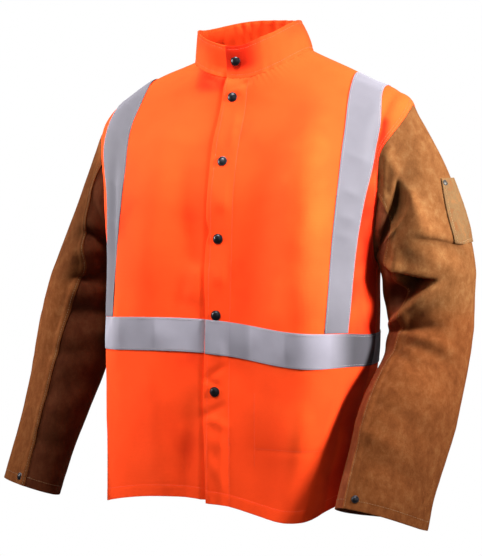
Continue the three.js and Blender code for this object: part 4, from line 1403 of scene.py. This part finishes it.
def thread(name, lines, finish, slot):
    """Rows of stitches along lines on the cloth: each line is a pair of points and normals in millimetres."""
    sizes = bpy.context.scene.jacket_sizes
    bpy.ops.object.select_all(action="DESELECT")
    bpy.ops.mesh.primitive_uv_sphere_add(segments=6, ring_count=4, radius=0.5, rotation=(0, math.pi / 2, 0))
    model = bpy.context.object
    bpy.ops.object.transform_apply(location=True, rotation=True, scale=True)
    bpy.ops.object.mode_set(mode="EDIT")
    bpy.ops.mesh.select_all(action="SELECT")
    bpy.ops.mesh.quads_convert_to_tris()
    bpy.ops.object.mode_set(mode="OBJECT")
    size = (sizes.stitch, sizes.thread, sizes.thread * STITCH_FLAT)
    shape = np.array([v.co for v in model.data.vertices]) * size
    corners = np.array([p.vertices for p in model.data.polygons])
    bpy.data.objects.remove(model)
    points, faces = [], []
    for line, ups in lines:
        run = np.concatenate([[0], np.cumsum(np.linalg.norm(np.diff(line, axis=0), axis=1))])
        places = np.arange(sizes.stitch_pitch / MM / 2, run[-1], sizes.stitch_pitch / MM)
        pick = lambda values, where: np.stack([np.interp(where, run, values[:, k]) for k in range(3)], 1)
        middle, up = pick(line, places), unit(pick(ups, places))
        way = unit(pick(line, places + 1) - pick(line, places - 1))
        side = unit(np.cross(up, way))
        axes = np.stack([way, side, np.cross(way, side)], 1)
        placed = middle[:, None, :] * MM + np.einsum("vk,nkc->nvc", shape, axes)
        first = np.arange(len(middle)) * len(shape) + sum(map(len, points))
        faces.append((corners[None] + first[:, None, None]).reshape(-1, 3))
        points.append(placed.reshape(-1, 3))
    piece = mesh_piece(name, np.concatenate(points), np.concatenate(faces))
    active(piece)
    bpy.ops.object.shade_smooth()
    carried(piece, finish, slot)


def rows_round(height, lift, placket=True):
    """Lines round the body at a distance up it: over each front and the back."""
    row = np.array([float(height)])
    for side in SIDES:
        turn, at = front_grid(side, row, placket)
        yield body_skin(turn[0], at[0], lift, side)
    turn, at = back_grid(row)
    yield body_skin(turn[0], at[0], lift)


class JACKET_OT_stitching(bpy.types.Operator):
    """Makes the rows of stitches along the seams, hems, tapes and pockets"""

    bl_idname = "jacket.stitching"
    bl_label = "Stitching"

    def execute(self, context):
        sizes = context.scene.jacket_sizes
        suede = sizes.suede_wall / MM
        on_cotton = sizes.cotton_wall / 2 / MM + STITCH_LIFT
        on_collar = sizes.collar_wall / 2 / MM + STITCH_LIFT
        on_tape = on_cotton + sizes.tape_wall / MM + TAPE_CLEAR + STITCH_LIFT
        on_suede = suede / 2 + STITCH_LIFT
        on_pocket = suede * (1 + POCKET_WALL / 2) + POCKET_CLEAR + STITCH_LIFT
        up = spaced((6, NECK - 4, 260))
        lines = [body_skin(front_turn(BODY, x, up), up, on_cotton, "left") for x in (PLACKET, -LAP + 4)]
        lines += rows_round(HEM_FOLD, on_cotton)
        around = np.linspace(0, 2 * math.pi, ROW_POINTS)
        for side in SIDES:
            for ease in ARMHOLE_STITCHES:
                lines.append(body_skin(*armhole_point(side, around, ease), on_cotton))
        for x, z in INSIDE_POCKET:
            lines.append(body_skin(*front_spot(np.linspace(*x, 60), np.linspace(*z, 60)), on_cotton, "left"))
        turn = np.linspace(-1.72, 4.4, 400)
        lines += [collar_skin(turn, at, on_collar) for at in COLLAR_ROWS]
        thread("body_stitches", lines, finishes()["cotton_thread"], "cotton")
        lines = []
        for at in (TAPE_LOW + TAPE_INSET, TAPE_HIGH - TAPE_INSET):
            lines += rows_round(at, on_tape, placket=False)
        edge = TAPE_INSET / (TAPE_HIGH - TAPE_LOW)
        for side in SIDES:
            lines += [body_skin(*brace_line(side, share), on_tape) for share in (edge, 1 - edge)]
        thread("tape_stitches", lines, finishes()["tape_thread"], "tape")
        lines = []
        for side in SIDES:
            end = SLEEVE[side]["at"][-1]
            down = np.linspace(14, end - 3, ROW_POINTS)
            inset = SLEEVE_LAP / 2 / SLEEVE_RADIUS
            for around in (seam_angle(side, down) + inset, np.full(down.shape, -math.pi / 2 - inset)):
                lift = on_suede + lap_lift(side, around, down, suede)
                lines.append(sleeve_skin(side, around, down, lift))
            round_cuff = np.linspace(-math.pi / 2, math.pi * 1.5, ROW_POINTS)
            lines.append(sleeve_skin(side, round_cuff, end - CUFF_INSET, on_suede))
        for part in POCKET_ROWS:
            (around, at), shares = pocket_places(*part)
            skin = sleeve_skin("left", around, at, on_pocket + pocket_belly(*shares))
            lines.append([rows.reshape(-1, 3) for rows in skin])
        thread("sleeve_stitches", lines, finishes()["suede_thread"], "suede")
        return {"FINISHED"}


class JACKET_PT_panel(bpy.types.Panel):
    """Lists the jacket's pieces and settings"""

    bl_idname = "JACKET_PT_panel"
    bl_label = "Jacket"
    bl_space_type = "VIEW_3D"
    bl_region_type = "UI"
    bl_category = "Jacket"

    def draw(self, context):
        for operator in OPERATORS:
            self.layout.operator(operator.bl_idname)
        for group in (context.scene.jacket_sizes, context.scene.jacket_colours, context.scene.jacket_stage):
            box = self.layout.box()
            for name in group.__annotations__:
                box.prop(group, name)


OPERATORS = (
    JACKET_OT_stage,
    JACKET_OT_body,
    JACKET_OT_collar,
    JACKET_OT_tape,
    JACKET_OT_sleeves,
    JACKET_OT_pocket,
    JACKET_OT_snaps,
    JACKET_OT_stitching,
)
GROUPS = {"jacket_sizes": JacketSizes, "jacket_colours": JacketColours, "jacket_stage": JacketStage}


def register():
    """Adds the settings, the operators and the panel."""
    for name, group in GROUPS.items():
        bpy.utils.register_class(group)
        setattr(bpy.types.Scene, name, bpy.props.PointerProperty(type=group))
    for operator in OPERATORS:
        bpy.utils.register_class(operator)
    bpy.utils.register_class(JACKET_PT_panel)


def unregister():
    """Takes the panel, the operators and the settings away."""
    bpy.utils.unregister_class(JACKET_PT_panel)
    for operator in reversed(OPERATORS):
        bpy.utils.unregister_class(operator)
    for name, group in GROUPS.items():
        delattr(bpy.types.Scene, name)
        bpy.utils.unregister_class(group)


def main():
    """Builds the jacket."""
    register()
    bpy.ops.jacket.stage()
    bpy.ops.jacket.body()
    bpy.ops.jacket.collar()
    bpy.ops.jacket.tape()
    bpy.ops.jacket.sleeves()
    bpy.ops.jacket.pocket()
    bpy.ops.jacket.snaps()
    bpy.ops.jacket.stitching()


if __name__ == "__main__":
    main()
